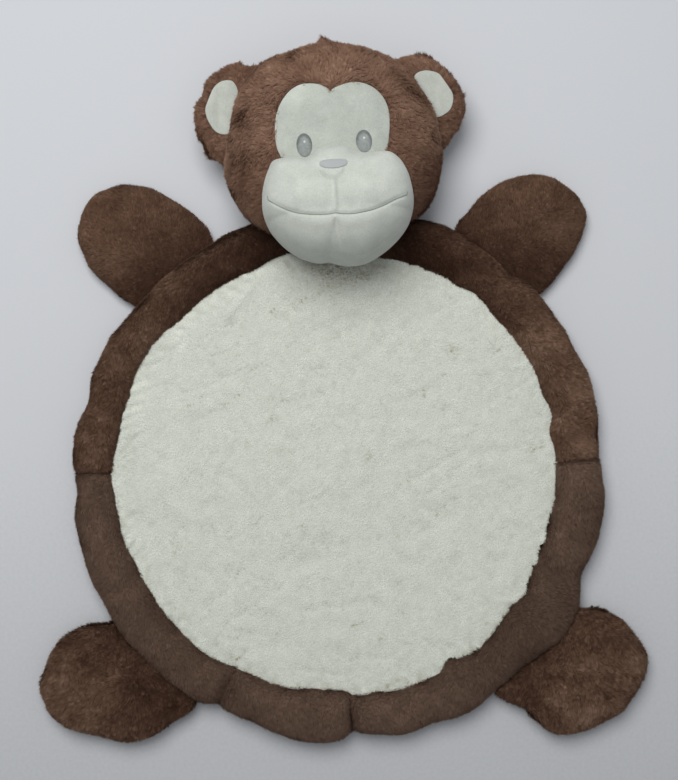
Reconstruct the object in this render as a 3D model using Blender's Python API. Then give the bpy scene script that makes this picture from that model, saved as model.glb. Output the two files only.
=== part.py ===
"""Plush monkey play mat, lying on its back on a flat surface, seen from above with the head towards +Y.

A padded disc is the belly. Four stuffed fur panels, sewn end to end, make the ring round it. Two flat arms
and two fuller feet are sewn to the ring's outer side. The stuffed head lies over the ring's upper edge: its
face panel, embroidered eyes, muzzle, nose and ears are pieces of their own. The origin is the centre of the
belly's underside. Metres, +Z up.
"""

import math

import bmesh
import bpy

MM = 0.001

# Driving dimensions
RING_OUTER = 0.295
RING_INNER = 0.244
RING_HEIGHT = 0.041
RING_WAIST = 0.020
RING_FULLNESS = 2.5
RING_INNER_FULLNESS = 1.5
BELLY_HEIGHT = 0.025
BELLY_SEAM = 0.017
LIMB_FULLNESS = 2.6
LIMB_GAP = 0.0005
HEAD_SEAM = 0.058
HEAD_HEIGHT = 0.125
HEAD_FULLNESS = 2.5
HEAD_TILT = math.radians(3.6)
EAR_FULLNESS = 3.0
PANEL_THICKNESS = 0.0024
EMBROIDERY_THICKNESS = 0.0012
SEAM_GAP = 0.0003
LAID_GAP = 0.0006
NECK_CLEARANCE = 0.003

# The ring's edges, as millimetres beyond RING_OUTER and RING_INNER
RING_EDGES = (
    # angle_deg, outer_mm, inner_mm
    (0, -2.0, -4.0),
    (15, 1.5, 0.5),
    (30, 2.5, 2.5),
    (45, 1.0, 2.0),
    (60, 2.5, 5.0),
    (75, 0.0, 1.0),
    (90, -3.0, 0.0),
    (105, 0.0, 1.0),
    (120, -3.0, 2.0),
    (135, -3.0, 1.0),
    (150, -1.0, 5.0),
    (165, -6.0, 2.0),
    (180, -1.0, 4.5),
    (195, 0.0, 3.0),
    (210, 1.5, -1.5),
    (225, 0.0, -0.5),
    (240, -1.0, -4.0),
    (255, 1.5, -5.0),
    (270, 1.0, -7.0),
    (285, 2.0, -2.0),
    (300, 7.0, -7.0),
    (315, 1.0, -4.0),
    (327, 9.0, -4.0),
    (337, -2.0, -5.0),
    (347, 2.0, -6.0),
)

# Where the ring is drawn in: the four seams between its panels, and three creases
RING_SEAMS_DEG = (3.8, 90.0, 179.2, 273.3)
RING_PANEL_NAMES = (
    "ring_panel_upper_right",
    "ring_panel_upper_left",
    "ring_panel_lower_left",
    "ring_panel_lower_right",
)
DRAWN_IN = (
    # angle_deg, width_deg, outer_mm, height_mm
    (3.8, 1.8, 4.0, 5.0),
    (90.0, 3.0, 5.0, 7.0),
    (179.2, 1.8, 3.5, 5.0),
    (242.0, 2.6, 3.0, 6.0),
    (273.3, 2.4, 3.5, 6.0),
    (336.0, 3.0, 2.0, 3.0),
)

LIMBS = (
    # name, centre_x, centre_y, height, seam, outline_column
    ("arm_left", -0.2217, 0.2604, 0.030, 0.011, 1),
    ("arm_right", 0.2152, 0.2737, 0.030, 0.011, 2),
    ("foot_left", -0.2427, -0.2307, 0.040, 0.018, 3),
    ("foot_right", 0.2705, -0.2152, 0.040, 0.018, 4),
)

# How far each limb reaches from its centre. The ring cuts it off sooner where the limb is sewn on.
LIMB_OUTLINES = (
    # angle_deg, arm_left_mm, arm_right_mm, foot_left_mm, foot_right_mm
    (0, 85, 58, 87, 72),
    (15, 75, 62, 88, 74),
    (30, 65, 61, 88, 72),
    (60, 58, 60, 86, 72),
    (90, 61, 58, 72, 71),
    (120, 63, 61, 75, 88),
    (150, 67, 68, 83, 98),
    (165, 67, 74, 84, 102),
    (180, 66, 85, 87, 104),
    (210, 61, 87, 81, 90),
    (240, 62, 84, 69, 85),
    (270, 73, 78, 68, 74),
    (300, 84, 60, 75, 65),
    (330, 88, 55, 85, 66),
    (345, 88, 55, 88, 68),
)

HEAD_CENTRE = (-0.0032, 0.3640)
HEAD_OUTLINE = (
    # angle_deg, reach_mm
    (0, 113.5),
    (30, 106.5),
    (60, 110.0),
    (90, 107.0),
    (120, 112.5),
    (150, 118.5),
    (180, 115.5),
    (210, 127.0),
    (240, 119.0),
    (270, 106.0),
    (300, 113.0),
    (330, 124.0),
)

MUZZLE_CENTRE = (0.0012, 0.2848)
MUZZLE_CROWN = 0.162
MUZZLE_RIM = 0.080
MUZZLE_BACK = 0.0595
MUZZLE_FULLNESS = 2.15
MUZZLE_TO_HEAD = 0.003
MUZZLE_OUTLINE = (
    # angle_deg, reach_mm
    (0, 78.5),
    (25, 81.0),
    (42, 80.0),
    (50, 76.0),
    (59, 64.5),
    (67, 60.0),
    (75, 60.0),
    (82, 62.0),
    (95, 62.5),
    (108, 62.0),
    (118, 61.0),
    (125, 61.5),
    (132, 67.0),
    (140, 77.0),
    (155, 81.5),
    (180, 78.5),
    (210, 74.0),
    (240, 66.0),
    (262, 58.5),
    (270, 59.5),
    (300, 64.0),
    (330, 70.0),
)
MOUTH_HALF_WIDTH = 0.0715
MOUTH_CENTRE_Y = 0.2780
MOUTH_RISE = 0.0165
SEAM_CREASE = 0.0030
SEAM_CREASE_WIDTH = 0.0045

FACE_CENTRE = (-0.0058, 0.3753)
BROW_OUTLINE = (
    # angle_deg from the face's own level, reach_mm; the left half mirrors it
    (90, 30.2),
    (77, 34.4),
    (65, 40.8),
    (55, 46.5),
    (44, 51.3),
    (32, 55.0),
    (20, 57.3),
    (5, 58.8),
    (-6, 60.3),
    (-20, 62.0),
    (-35, 65.5),
    (-60, 70.0),
    (-90, 70.0),
)

EYE_SPREAD = 0.0309
EYE_DROP = 0.0255
EYE_HALF_WIDTH = 0.0078
EYE_HALF_HEIGHT = 0.0113
NOSE_ABOVE_MUZZLE_CENTRE = 0.0445
NOSE_SIDEWAYS = -0.0045
NOSE_HALF_WIDTH = 0.0148
NOSE_HALF_HEIGHT = 0.0062

EARS = (
    # side, centre_x, centre_y, reach, patch_x, patch_y, patch_half_width, patch_half_height
    ("left", -0.1028, 0.3960, 0.0565, -0.1157, 0.3996, 0.0262, 0.0291),
    ("right", 0.0888, 0.4080, 0.0540, 0.0975, 0.4147, 0.0262, 0.0258),
)
PATCH_TO_HEAD = 0.006
PATCH_GAP = 0.001
EAR_SEAM = 0.046
EAR_HEIGHT = 0.013
EAR_DEPTH = 0.013

COLOURS = {
    # name: red, green, blue, roughness
    "brown_fur": (0.105, 0.052, 0.034, 0.95),
    "cream_plush": (0.690, 0.720, 0.620, 0.95),
    "cream_velour": (0.620, 0.670, 0.580, 0.90),
    "grey_thread": (0.360, 0.400, 0.400, 0.60),
    "pale_thread": (0.500, 0.530, 0.530, 0.60),
}


def clear_scene():
    for obj in list(bpy.data.objects):
        bpy.data.objects.remove(obj, do_unlink=True)


def fabric(name):
    """The material of one kind of cloth."""
    red, green, blue, roughness = COLOURS[name]
    material = bpy.data.materials.new(name)
    material.use_nodes = True
    shader = material.node_tree.nodes["Principled BSDF"]
    shader.inputs["Base Color"].default_value = (red, green, blue, 1.0)
    shader.inputs["Roughness"].default_value = roughness
    return material


def table_value(rows, column, angle):
    """A column of a table whose first column is an angle in degrees, read smoothly all the way round."""
    wanted = math.degrees(angle) % 360
    rows = sorted((row[0] % 360, row[column]) for row in rows)
    count = len(rows)
    last = max((i for i in range(count) if rows[i][0] <= wanted), default=-1)
    knots = []
    for step in (-1, 0, 1, 2):
        turn, place = divmod(last + step, count)
        knots.append((rows[place][0] + 360 * turn, rows[place][1]))
    (a0, v0), (a1, v1), (a2, v2), (a3, v3) = knots
    span = a2 - a1
    share = (wanted - a1) / span
    start = (v2 - v0) / (a2 - a0) * span
    end = (v3 - v1) / (a3 - a1) * span
    bend = 2 * (v1 - v2) + start + end
    lean = 3 * (v2 - v1) - 2 * start - end
    return ((bend * share + lean) * share + start) * share + v1


def dome(reach, fullness):
    """Height of a crowned form, from 1 at its middle to 0 at its rim. A higher fullness is flatter on top."""
    return max(0.0, 1.0 - min(reach, 1.0) ** fullness) ** (1.0 / fullness)


def polar(centre, x, y):
    return math.atan2(y - centre[1], x - centre[0]), math.hypot(x - centre[0], y - centre[1])


def reach_before(centre, angle, furthest, blocked):
    """How far a ray from the centre runs before blocked(x, y) is true, at most furthest."""
    def there(distance):
        return blocked(centre[0] + distance * math.cos(angle), centre[1] + distance * math.sin(angle))

    steps = 60
    free = 0.0
    for step in range(1, steps + 1):
        distance = furthest * step / steps
        if there(distance):
            stop = distance
            for _ in range(24):
                middle = (free + stop) / 2
                if there(middle):
                    stop = middle
                else:
                    free = middle
            return free
        free = distance
    return furthest


# The ring


def drawn_in(angle, column):
    """How far the seams and creases pull the ring in at this angle, in metres."""
    total = 0.0
    for row in DRAWN_IN:
        away = (math.degrees(angle) - row[0] + 180) % 360 - 180
        total += row[column] * MM * math.exp(-((away / row[1]) ** 2))
    return total


def ring_outer(angle):
    return RING_OUTER + table_value(RING_EDGES, 1, angle) * MM - drawn_in(angle, 2)


def ring_inner(angle):
    return RING_INNER + table_value(RING_EDGES, 2, angle) * MM


def ring_height(angle):
    return RING_HEIGHT - drawn_in(angle, 3)


def inside_ring(x, y, grown):
    angle, distance = polar((0.0, 0.0), x, y)
    return distance < ring_outer(angle) + grown


def ring_point(angle, turn):
    """A point of the ring's skin: angle goes round the mat, turn goes round the tube."""
    outer, inner = ring_outer(angle), ring_inner(angle)
    across, up = math.cos(turn), math.sin(turn)
    power = 2.0 / RING_FULLNESS
    sideways = math.copysign(abs(across) ** power, across) * (outer - inner) / 2
    rise = abs(up) ** (2.0 / RING_INNER_FULLNESS if across < 0 and up >= 0 else power)
    if up >= 0:
        height = RING_WAIST + (ring_height(angle) - RING_WAIST) * rise
    else:
        height = max(0.0, RING_WAIST - 1.15 * RING_WAIST * rise)
    distance = (outer + inner) / 2 + sideways
    return distance * math.cos(angle), distance * math.sin(angle), height


# The head and what is on it


def head_reach(angle):
    return table_value(HEAD_OUTLINE, 1, angle) * MM


def inside_head(x, y, grown):
    angle, distance = polar(HEAD_CENTRE, x, y)
    return distance < head_reach(angle) + grown


def head_top(x, y, grown=0.0):
    """Height of the head's front above the floor. grown widens the head all round."""
    angle, distance = polar(HEAD_CENTRE, x, y)
    share = distance / (head_reach(angle) + grown)
    return HEAD_SEAM + (HEAD_HEIGHT - HEAD_SEAM) * dome(share, HEAD_FULLNESS)


def head_underside(x, y, share):
    """Height of the head's back: flat on the floor, and lifted where it lies over the ring."""
    own = max(0.0, HEAD_SEAM - 1.2 * HEAD_SEAM * dome(share, HEAD_FULLNESS))
    angle, distance = polar((0.0, 0.0), x, y)
    beyond = (distance - ring_outer(angle) - 0.004) / 0.034
    beyond = min(max(beyond, 0.0), 1.0)
    lifted = (RING_HEIGHT + NECK_CLEARANCE) * (1 - beyond * beyond * (3 - 2 * beyond))
    return min(max(own, lifted), HEAD_SEAM)


def muzzle_reach(angle):
    return table_value(MUZZLE_OUTLINE, 1, angle) * MM


def inside_muzzle(x, y, grown):
    angle, distance = polar(MUZZLE_CENTRE, x, y)
    return distance < muzzle_reach(angle) + grown


def crease(distance):
    """Depth of a sewn crease at this distance from its seam."""
    return SEAM_CREASE * math.exp(-((distance / SEAM_CREASE_WIDTH) ** 2))


def muzzle_creases(x, y):
    """Depth of the smile and of the upright seam that runs down the muzzle's middle, at a point seen from above."""
    across, up = face_level(MUZZLE_CENTRE, x, y)
    smile = MOUTH_CENTRE_Y - MUZZLE_CENTRE[1] + MOUTH_RISE * (across / MOUTH_HALF_WIDTH) ** 2
    depth = crease(up - smile) if abs(across) < MOUTH_HALF_WIDTH else 0.0
    if up < NOSE_ABOVE_MUZZLE_CENTRE - NOSE_HALF_HEIGHT:
        depth = max(depth, 0.7 * crease(across + 0.002))
    return depth


def muzzle_rim(angle):
    """Height of the muzzle's rim: low at the chin, and on the head's front where it lies on that."""
    reach = muzzle_reach(angle)
    rim_x = MUZZLE_CENTRE[0] + reach * math.cos(angle)
    rim_y = MUZZLE_CENTRE[1] + reach * math.sin(angle)
    if inside_head(rim_x, rim_y, MUZZLE_TO_HEAD):
        return max(MUZZLE_RIM, head_top(rim_x, rim_y, MUZZLE_TO_HEAD) + 2 * LAID_GAP)
    return MUZZLE_RIM


def muzzle_top(x, y):
    angle, distance = polar(MUZZLE_CENTRE, x, y)
    rim = muzzle_rim(angle)
    return rim + (MUZZLE_CROWN - rim) * dome(distance / muzzle_reach(angle), MUZZLE_FULLNESS)


def face_level(centre, x, y):
    """A place relative to a centre, in directions turned with the head."""
    right, up = x - centre[0], y - centre[1]
    cosine, sine = math.cos(HEAD_TILT), math.sin(HEAD_TILT)
    return right * cosine + up * sine, up * cosine - right * sine


def face_place(centre, across, up):
    """The reverse of face_level."""
    cosine, sine = math.cos(HEAD_TILT), math.sin(HEAD_TILT)
    return centre[0] + across * cosine - up * sine, centre[1] + across * sine + up * cosine


def brow_reach(angle):
    """The face panel's edge: the hairline above, and the muzzle's upper edge below."""
    level = (angle - HEAD_TILT + math.pi) % (2 * math.pi) - math.pi
    if abs(level) > math.pi / 2:
        level = math.copysign(math.pi, level) - level
    rows = BROW_OUTLINE + tuple((180 - row[0], row[1]) for row in BROW_OUTLINE[1:-1])
    furthest = table_value(rows, 1, level) * MM
    return reach_before(FACE_CENTRE, angle, furthest, lambda x, y: inside_muzzle(x, y, LAID_GAP))


def face_top(x, y):
    return head_top(x, y) + LAID_GAP + PANEL_THICKNESS


def ear_top(ear, x, y):
    """Height of an ear's upper side, from its own outline before the head cuts it off."""
    share = math.hypot(x - ear[1], y - ear[2]) / ear[3]
    return EAR_SEAM + EAR_HEIGHT * dome(share, EAR_FULLNESS)


# Building the pieces


def new_piece(name, bm, material, collection):
    mesh = bpy.data.meshes.new(name)
    bm.to_mesh(mesh)
    bm.free()
    mesh.materials.append(material)
    mesh.shade_smooth()
    obj = bpy.data.objects.new(name, mesh)
    collection.objects.link(obj)
    return obj


def filled_form(name, spokes, rings, place, material, collection):
    """A sphere whose points are put at place(angle, reach, upper): reach is 0 at its poles and 1 at its rim."""
    bm = bmesh.new()
    bmesh.ops.create_uvsphere(bm, u_segments=spokes, v_segments=2 * rings, radius=1.0)
    for vert in bm.verts:
        angle = math.atan2(vert.co.y, vert.co.x)
        reach = min(1.0, math.hypot(vert.co.x, vert.co.y))
        if abs(vert.co.z) < 1e-5:
            reach = 1.0
        vert.co = place(angle, reach, vert.co.z > 0)
    return new_piece(name, bm, material, collection)


def tube(name, around, along, place, material, collection):
    """A cylinder whose points are put at place(share, turn): share runs from one end to the other."""
    bm = bmesh.new()
    bmesh.ops.create_cone(bm, cap_ends=True, segments=around, radius1=1.0, radius2=1.0, depth=2.0)
    lengthwise = [e for e in bm.edges if abs(e.verts[0].co.z - e.verts[1].co.z) > 1.0]
    bmesh.ops.subdivide_edges(bm, edges=lengthwise, cuts=along - 1, use_grid_fill=True)
    for vert in bm.verts:
        vert.co = place((1.0 - vert.co.z) / 2.0, math.atan2(vert.co.y, vert.co.x))
    return new_piece(name, bm, material, collection)


def belly(material, collection):
    """The padded disc inside the ring, with shallow rises where the padding has moved."""
    def place(angle, reach, upper):
        distance = reach * (ring_inner(angle) - SEAM_GAP)
        x, y = distance * math.cos(angle), distance * math.sin(angle)
        height = dome(reach, 6.0)
        if upper:
            swell = 0.0012 * math.sin(31 * x + 12 * y) + 0.0010 * math.sin(17 * y - 26 * x + 1.0)
            return x, y, BELLY_SEAM + (BELLY_HEIGHT - BELLY_SEAM + swell) * height
        return x, y, max(0.0, BELLY_SEAM - 1.5 * BELLY_SEAM * height)

    filled_form("belly_disc", 60, 6, place, material, collection)


def ring_panels(material, collection):
    """Four tubes end to end, a seam's width apart."""
    half_gap = SEAM_GAP / 2 / RING_INNER
    for number, name in enumerate(RING_PANEL_NAMES):
        start = math.radians(RING_SEAMS_DEG[number]) + half_gap
        following = RING_SEAMS_DEG[(number + 1) % len(RING_SEAMS_DEG)]
        end = math.radians(following + (360 if following < RING_SEAMS_DEG[number] else 0)) - half_gap

        def place(share, turn, start=start, end=end):
            return ring_point(start + (end - start) * share, turn)

        tube(name, 14, 18, place, material, collection)


def limb(row, material, collection):
    """An arm or a foot, its root drawn in against the ring's side."""
    name, centre_x, centre_y, height, seam, column = row

    def outline(angle):
        reach = table_value(LIMB_OUTLINES, column, angle) * MM
        return reach_before((centre_x, centre_y), angle, reach, lambda x, y: inside_ring(x, y, LIMB_GAP))

    def place(angle, reach, upper):
        distance = reach * outline(angle)
        x, y = centre_x + distance * math.cos(angle), centre_y + distance * math.sin(angle)
        crown = dome(reach, LIMB_FULLNESS)
        if upper:
            return x, y, seam + (height - seam) * crown
        return x, y, max(0.0, seam - 1.3 * seam * crown)

    filled_form(name, 38, 6, place, material, collection)


def head(material, collection):
    """The stuffed head, its back on the floor and its chin end over the ring."""
    def place(angle, reach, upper):
        distance = reach * head_reach(angle)
        x = HEAD_CENTRE[0] + distance * math.cos(angle)
        y = HEAD_CENTRE[1] + distance * math.sin(angle)
        if upper:
            return x, y, head_top(x, y)
        return x, y, head_underside(x, y, reach)

    filled_form("head", 42, 9, place, material, collection)


def muzzle(material, collection):
    """The stuffed muzzle: its back lies on the head's front, and its chin hangs free over the belly."""
    def place(angle, reach, upper):
        distance = reach * muzzle_reach(angle)
        x = MUZZLE_CENTRE[0] + distance * math.cos(angle)
        y = MUZZLE_CENTRE[1] + distance * math.sin(angle)
        crown = dome(reach, MUZZLE_FULLNESS)
        if upper:
            return x, y, muzzle_top(x, y) - muzzle_creases(x, y) * min(1.0, 3 * crown)
        rim = muzzle_rim(angle)
        underside = rim - (rim - MUZZLE_BACK) * crown
        if inside_head(x, y, MUZZLE_TO_HEAD):
            underside = max(underside, head_top(x, y, MUZZLE_TO_HEAD) + LAID_GAP)
        return x, y, min(underside, muzzle_top(x, y))

    filled_form("muzzle", 48, 10, place, material, collection)


def laid_panel(name, spokes, rings, centre, edge, surface, thickness, material, collection):
    """A thin piece laid on a surface: edge(angle) is its outline and surface(x, y) what it lies on."""
    def place(angle, reach, upper):
        distance = reach * edge(angle)
        x, y = centre[0] + distance * math.cos(angle), centre[1] + distance * math.sin(angle)
        rise = thickness * dome(reach, 8.0) if upper else 0.0
        return x, y, surface(x, y) + rise

    return filled_form(name, spokes, rings, place, material, collection)


def oval_edge(half_width, half_height):
    """The outline of an oval that is level with the face."""
    def edge(angle):
        level = angle - HEAD_TILT
        return 1.0 / math.hypot(math.cos(level) / half_width, math.sin(level) / half_height)

    return edge


def face_pieces(velour, thread, pale_thread, collection):
    """The face panel, and the eyes and nose embroidered on it and on the muzzle."""
    laid_panel(
        "face_panel", 40, 5, FACE_CENTRE, brow_reach,
        lambda x, y: head_top(x, y) + LAID_GAP, PANEL_THICKNESS, velour, collection,
    )
    oval = oval_edge(EYE_HALF_WIDTH, EYE_HALF_HEIGHT)
    for name, side in (("eye_left", -1), ("eye_right", 1)):
        middle = face_place(FACE_CENTRE, side * EYE_SPREAD, -EYE_DROP)

        def eye_edge(angle, middle=middle):
            return reach_before(middle, angle, oval(angle), lambda x, y: inside_muzzle(x, y, LAID_GAP))

        laid_panel(
            name, 16, 3, middle, eye_edge,
            lambda x, y: face_top(x, y) + LAID_GAP, EMBROIDERY_THICKNESS, thread, collection,
        )
    laid_panel(
        "nose", 20, 3, face_place(MUZZLE_CENTRE, NOSE_SIDEWAYS, NOSE_ABOVE_MUZZLE_CENTRE),
        oval_edge(NOSE_HALF_WIDTH, NOSE_HALF_HEIGHT),
        lambda x, y: muzzle_top(x, y) + LAID_GAP, EMBROIDERY_THICKNESS, pale_thread, collection,
    )


def ears(fur, velour, collection):
    """Round ears sewn to the head's sides, each with a cream patch."""
    for ear in EARS:
        side, centre_x, centre_y, reach, patch_x, patch_y, half_width, half_height = ear
        away = math.pi if side == "left" else 0.0
        clear = (centre_x + 0.032 * math.cos(away), centre_y + 0.006)

        def outline(angle, clear=clear, centre=(centre_x, centre_y), size=reach):
            own = reach_before(clear, angle, 2 * size, lambda x, y: polar(centre, x, y)[1] > size)
            return reach_before(clear, angle, own, lambda x, y: inside_head(x, y, SEAM_GAP))

        def place(angle, share, upper, outline=outline, clear=clear):
            distance = share * outline(angle)
            x, y = clear[0] + distance * math.cos(angle), clear[1] + distance * math.sin(angle)
            crown = dome(share, EAR_FULLNESS)
            return x, y, EAR_SEAM + (EAR_HEIGHT if upper else -EAR_DEPTH) * crown

        filled_form(f"ear_{side}", 30, 6, place, fur, collection)

        patch_clear = (patch_x + 0.012 * math.cos(away), patch_y)

        def patch_edge(angle, clear=patch_clear, middle=(patch_x, patch_y), wide=half_width, high=half_height):
            def outside(x, y):
                return math.hypot((x - middle[0]) / wide, (y - middle[1]) / high) > 1.0

            own = reach_before(clear, angle, 2 * wide, outside)
            return reach_before(clear, angle, own, lambda x, y: inside_head(x, y, PATCH_TO_HEAD))

        def patch_surface(x, y, clear=clear, outline=outline):
            angle, distance = polar(clear, x, y)
            crown = dome(distance / outline(angle), EAR_FULLNESS)
            return EAR_SEAM + EAR_HEIGHT * crown + PATCH_GAP

        laid_panel(
            f"ear_patch_{side}", 20, 4, patch_clear, patch_edge, patch_surface,
            PANEL_THICKNESS, velour, collection,
        )


def main():
    clear_scene()
    collection = bpy.data.collections.new("monkey_play_mat")
    bpy.context.scene.collection.children.link(collection)
    fur = fabric("brown_fur")
    plush = fabric("cream_plush")
    velour = fabric("cream_velour")
    belly(plush, collection)
    ring_panels(fur, collection)
    for row in LIMBS:
        limb(row, fur, collection)
    head(fur, collection)
    muzzle(velour, collection)
    face_pieces(velour, fabric("grey_thread"), fabric("pale_thread"), collection)
    ears(fur, velour, collection)


main()
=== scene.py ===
"""Looks of the plush monkey play mat: soft forms, pile, velour face, embroidery and sewn seams."""

import math
from collections import namedtuple

import bpy
import numpy as np
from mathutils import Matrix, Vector
from mathutils.kdtree import KDTree


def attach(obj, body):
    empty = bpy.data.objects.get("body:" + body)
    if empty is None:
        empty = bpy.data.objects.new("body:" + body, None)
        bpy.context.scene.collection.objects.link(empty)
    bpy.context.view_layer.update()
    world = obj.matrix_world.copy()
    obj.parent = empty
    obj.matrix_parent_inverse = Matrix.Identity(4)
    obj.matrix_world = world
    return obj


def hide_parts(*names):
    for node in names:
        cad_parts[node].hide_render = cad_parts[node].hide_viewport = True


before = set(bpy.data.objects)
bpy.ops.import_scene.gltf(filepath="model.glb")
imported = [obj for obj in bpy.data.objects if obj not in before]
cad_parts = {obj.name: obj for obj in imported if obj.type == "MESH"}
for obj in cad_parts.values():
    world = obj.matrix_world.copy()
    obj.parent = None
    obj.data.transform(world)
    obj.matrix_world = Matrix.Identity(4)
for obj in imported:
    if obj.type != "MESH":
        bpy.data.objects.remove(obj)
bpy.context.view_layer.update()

MM = 0.001
PILE = 0.0032
LOWEST = 0.0003
RAY_STEPS = 161

# Photo outlines, in millimetres on the mat. The fur's own thickness is taken off where a form is built.
RING_EDGE = (
    # angle_deg, outer_mm, inner_mm
    (0, 294, 239.8), (7.5, 293, 240), (11.5, 295.4, 238.6), (15, 297.6, 245.2), (22.5, 299.9, 243),
    (30, 299.6, 247), (37.5, 300.5, 246.8), (45, 299.8, 247.4), (49, 294.2, 250), (53, 294.6, 252.2),
    (57, 297, 248.8), (62.5, 300, 251), (67.5, 301, 249.8), (75, 296, 247.6), (90, 290, 246),
    (106, 295, 249.8), (112.5, 294.6, 244.4), (118, 293, 245), (126.4, 293.6, 244.6), (135, 292, 243.4),
    (142.5, 292.6, 249.4), (150, 295, 250.6), (157.5, 294.6, 247.8), (163.5, 290.6, 245.6),
    (171, 295, 246.4), (180, 294.4, 249), (184, 291, 247), (187.5, 294.4, 246.2), (195, 296.4, 245.6),
    (202.5, 297.4, 242.2), (207, 295.6, 241.8), (210, 297.2, 242), (217.5, 297.6, 242),
    (225, 294.4, 242.4), (232.5, 296.1, 242.6), (237.5, 295.5, 241.2), (240, 293, 240), (242, 289, 238.2),
    (244.5, 288.4, 238.4), (248, 289.2, 238.8), (251, 288.8, 240.6), (255, 291.6, 241.2),
    (262.5, 296, 236.6), (268, 294.4, 236.6), (271, 290.6, 237.2), (273.3, 286.4, 239.4),
    (275.5, 287, 242.6), (280, 291, 242.4), (285, 295.7, 245.6), (290, 293.6, 244.6), (297, 299, 244),
    (300.5, 300.5, 237.8), (307.5, 295.6, 246), (315, 296, 242.4), (318, 300, 241), (322.5, 306, 238.8),
    (329, 305.6, 243), (333.5, 301, 238.6), (337.5, 293, 238.8), (345, 295.8, 238), (352.5, 298.2, 240),
)
RING_SEAMS = (
    # angle_deg, width_deg, outer_mm, height_mm
    (3.8, 1.2, 1.5, 5), (90, 2, 1.5, 5), (179.2, 1.2, 2, 5.5), (242, 1.3, 3, 9.5), (273.3, 1.3, 3, 9),
    (335.5, 2.2, 1, 4.5), (49, 2, 0.5, 3), (165, 2.5, 0.5, 2.5), (307, 2.4, 0.5, 2.5),
    (208, 2.4, 0.5, 2.5),
)
SEWN_LINES = (3.8, 179.2, 242.0, 273.3)
RING_PANELS = (
    # name, start_deg, end_deg
    ("ring_panel_upper_right", 3.8, 90.0),
    ("ring_panel_upper_left", 90.0, 179.2),
    ("ring_panel_lower_left", 179.2, 273.3),
    ("ring_panel_lower_right", 273.3, 363.8),
)
PANEL_HALF_GAP = math.degrees(0.0003 / 0.244)
RING_TOP = 0.0365
RING_WAIST = 0.020
BELLY_RIM = 0.0205
BELLY_TOP = 0.0240
BELLY_SEAM = 0.0130
BELLY_DEPTH = 0.0200
FRAY_MIDDLE_DEG = -40
FRAY_SPREAD_DEG = 55

LIMBS = (
    # name, centre, shade. Their columns of LIMB_EDGE are in this order.
    ("arm_left", (-0.2217, 0.2604), -0.01),
    ("arm_right", (0.2152, 0.2737), -0.03),
    ("foot_left", (-0.2427, -0.2307), 0.0),
    ("foot_right", (0.2705, -0.2152), 0.04),
)
LIMB_KINDS = {
    # kind: top, seam, rim tone (a painted sheen on the sides), fill
    "arm": (0.028, 0.011, 0.24, 0.4),
    "foot": (0.039, 0.017, 0.14, 0.65),
}
LIMB_TUCK = 0.0022
LIMB_EDGE = (
    # angle_deg, arm_left_mm, arm_right_mm, foot_left_mm, foot_right_mm
    (0, 85, 60.4, 90, 71.6), (15, 76, 64.4, 92, 74.6), (30, 67.2, 64, 94, 71.8), (45, 62.4, 63, 91, 72.2),
    (60, 60.4, 61.8, 87, 72.8), (75, 62, 61.3, 78.5, 72.9), (90, 62.9, 61.5, 71, 69),
    (105, 65.7, 61.7, 71.6, 75), (120, 67.8, 62.3, 75.5, 88), (135, 70.8, 64.2, 79.1, 95),
    (150, 69.6, 69.2, 82.8, 99), (165, 68.5, 74.6, 84.2, 102), (180, 67.3, 86, 88.2, 105),
    (195, 62.8, 90, 83.5, 100), (210, 62.4, 90, 79.4, 79), (225, 61.5, 90, 70.6, 77.6),
    (240, 62.6, 88, 63.8, 77.8), (255, 67.3, 84, 61.2, 74.2), (270, 74, 78, 63, 68.4),
    (285, 82, 68.5, 65.4, 65), (300, 88, 60.8, 68.2, 63.4), (315, 92, 56.8, 72.2, 65.2),
    (330, 92, 56.2, 78, 64.6), (345, 90, 57.4, 90, 67),
)

HEAD_CENTRE = (-0.0026, 0.3644)
HEAD_EDGE = (
    # angle_deg, reach_mm
    (0, 114.6), (11, 111.2), (31, 107.8), (51, 106.8), (60, 104.8), (75, 102.8), (90, 103.8),
    (91.6, 104.2), (94.4, 107.4), (97.4, 107), (100.5, 104.8), (105, 105), (120, 106.7), (132, 112.6),
    (145, 115), (159, 114.8), (170, 115), (185, 117.6), (202, 126.6), (216, 127.5), (224, 127), (240, 119),
    (255, 110), (270, 106), (285, 107), (300, 113), (318, 122), (326, 123.6), (337, 122.2), (350, 118.8),
)
HEAD_SEAM = 0.058
HEAD_TOP = 0.122
HEAD_TUFTS = (
    # x_mm, y_mm, spread_mm, growth
    (-10, 467, 5, 1), (-5.5, 411, 4, 0.9), (-61, 338, 3.5, 0.3), (54, 346, 3.5, 0.3),
)
TILT = math.radians(3.6)

FACE_CENTRE = (-0.0058, 0.3753)
FACE_EDGE = (
    # x_mm, y_mm
    (-7.4, 404.6), (-9.8, 407), (-13.8, 409.4), (-19.5, 411.6), (-28.3, 412.6), (-38.6, 411.4),
    (-47.4, 406.8), (-55.8, 397.6), (-62.2, 384.8), (-64.9, 370.4), (-64.6, 356.9), (-62.6, 345),
    (-58.2, 333.8), (-57, 322), (-40, 312), (0, 308), (36, 316), (51.5, 326), (51.2, 341), (52.6, 348.7),
    (53.8, 360), (54.4, 373.5), (53, 386.6), (47, 399.6), (38.6, 408), (28.6, 413), (18.2, 414.2),
    (8.2, 412.4), (1, 409.6), (-4.6, 406.8),
)
FACE_RISE = 0.0006
FACE_THICK = 0.0012

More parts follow.
